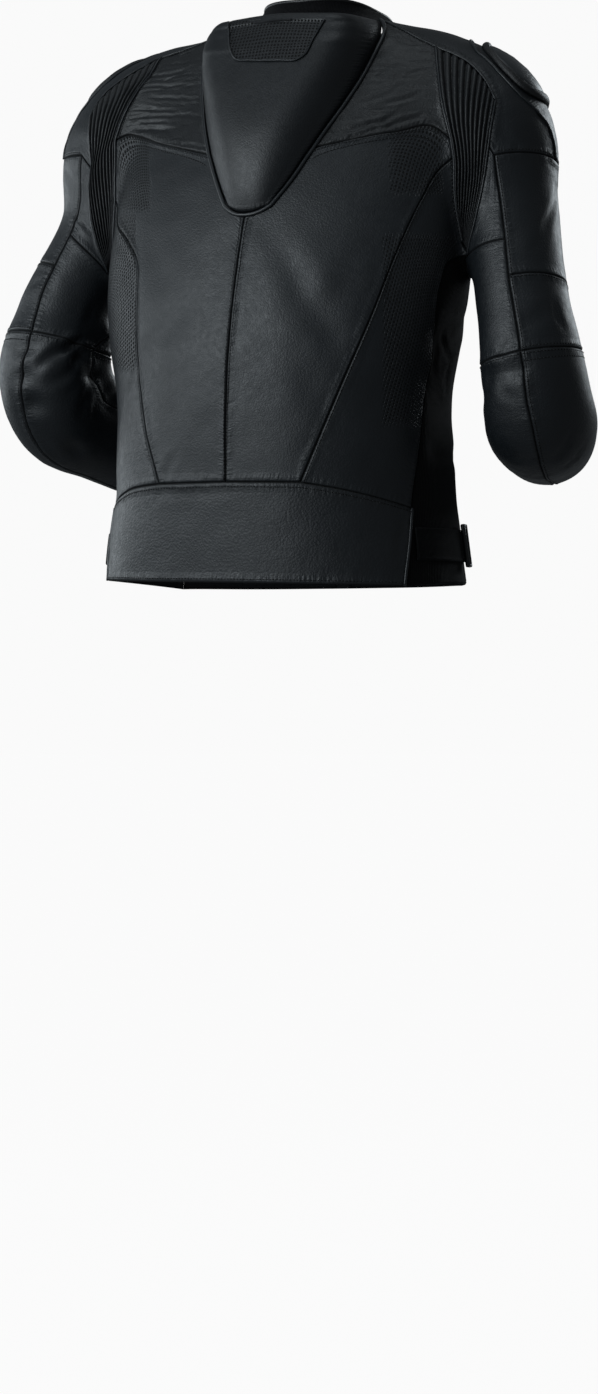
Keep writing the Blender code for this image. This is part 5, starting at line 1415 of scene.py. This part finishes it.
# seams with a second row, and the lines of a panel's grid that the rows lie on
DOUBLED = (("centre_back", "yoke"), ("sleeve_lower", "outer_elbow"))
STITCH_RING, SECOND_RING, BAND_RING = 4, 7, 5


def sew(name, rows):
    """Stitches along several rows as one mesh."""
    parts = [marks_along(points, normals, STITCH_PITCH) for points, normals in rows]
    middles, ahead, ways = (np.concatenate(part) for part in zip(*parts))
    seat = middles + ways * STITCH_RISE
    repeat(f"stitches_{name}", beads[0], seat, ahead, ways, thread)
    # the needle holes as matt black beads: painted shade
    repeat(f"needle_holes_{name}", beads[1], seat + ahead * STITCH_PITCH / 2, ahead, ways, needle_hole_shade)


for side in SIGN:
    for name, names in ROWS.items():
        rows = []
        for seam in names.split():
            rings = (STITCH_RING, SECOND_RING) if (name, seam) in DOUBLED else (STITCH_RING,)
            rows += [cloths[f"{name}_{side}"].line(seam, ring) for ring in rings]
        sew(f"{name}_{side}", rows)
band_top = ("right:band_outer", "right:band_back", "left:band_back", "left:band_outer")
rows = [band.line(name, BAND_RING) for name in band_top]
rows += [band.line(name, STITCH_RING) for name in ("right:hem_band", "left:hem_band")]
sew("waistband", rows)
sew("vent", [(vent_path - UPWARD * VENT_STITCHES, vent_normals)])

# ==== Studio ====
# A plain pale floor well below the jacket, which its wearer holds up, under a plain pale room.
# Soft boxes stand high at the left of the picture, with weaker ones at the right and in front.
FLOOR_HEIGHT, PALE = -1500.0, "#fafafa"
bpy.context.scene.view_settings.view_transform = "Standard"
world = bpy.data.worlds.new("studio")
bpy.context.scene.world = world
world.use_nodes = True
tree = world.node_tree
room = tree.nodes["Background"]
room.inputs["Color"].default_value, room.inputs["Strength"].default_value = linear("#e4ecf2"), 0.125
pale = add_node(tree, "Background", {"Color": linear(PALE), "Strength": 1.0})
kind = add_node(tree, "LightPath")
both = add_node(tree, "MixShader", None,
                {0: kind.outputs["Is Camera Ray"], 1: room.outputs[0], 2: pale.outputs[0]})
tree.links.new(both.outputs[0], tree.nodes["World Output"].inputs["Surface"])

bpy.ops.object.select_all(action="DESELECT")
bpy.ops.mesh.primitive_circle_add(vertices=64, radius=60, fill_type="NGON",
                                  location=(0, 0, FLOOR_HEIGHT * MM))
floor = bpy.context.object
floor.name = "floor"
bpy.ops.object.transform_apply(location=True, rotation=True, scale=True)
# White paper that glows evenly, so that it stays as pale as the room
paper, tree, shader = new_material("studio_paper_lit")
shader.inputs["Base Color"].default_value = linear("#202020")
shader.inputs["Roughness"].default_value = 1.0
shader.inputs["Specular IOR Level"].default_value = 0.0
shader.inputs["Emission Color"].default_value = linear(PALE)
shader.inputs["Emission Strength"].default_value = 1.0
floor.data.materials.append(paper)
floor.visible_glossy = floor.visible_diffuse = False

# name, metres towards the camera, to the right and up, power in watts
LIGHTS = (
    ("key", 1.9, -3.0, 1.5, 40.0),
    ("side", 0.6, -3.4, 0.3, 12.0),
    ("low", 2.6, -2.2, -0.6, 10.0),
    ("wash", 2.6, -2.4, 1.0, 9.0),
    ("top", 0.3, -0.3, 2.6, 7.0),
    ("rim", -0.8, -3.2, 0.6, 18.0),
    ("front_key", -2.6, 2.4, 1.2, 30.0),
    ("front_fill", -2.6, -2.6, 0.2, 14.0),
)
LAMP_SIZE, LIGHT_COLOUR = 1.4, (0.87, 0.95, 1.0)
aim = np.array([0.0, 0.08, -0.28])
for name, near, right, high, power in LIGHTS:
    lamp = bpy.data.lights.new(name, "AREA")
    lamp.energy, lamp.size, lamp.color = power, LAMP_SIZE, LIGHT_COLOUR
    item = bpy.data.objects.new(name, lamp)
    bpy.context.scene.collection.objects.link(item)
    place = BEHIND * near + RIGHTWARD * right + UPWARD * high + aim
    item.location = place
    item.rotation_euler = Vector(aim - place).to_track_quat("-Z", "Y").to_euler()

eye = bpy.data.cameras.new("camera")
SENSOR, PICTURE_HEIGHT = 36.0, 1394.0
eye.sensor_width, eye.lens = SENSOR, SENSOR * FOCAL / PICTURE_HEIGHT
eye.clip_end = 60.0
camera = bpy.data.objects.new("camera", eye)
bpy.context.scene.collection.objects.link(camera)
camera.location = CAMERA_PLACE * MM
camera.rotation_euler = (math.pi / 2, 0, math.radians(AZIMUTH))
bpy.context.scene.camera = camera
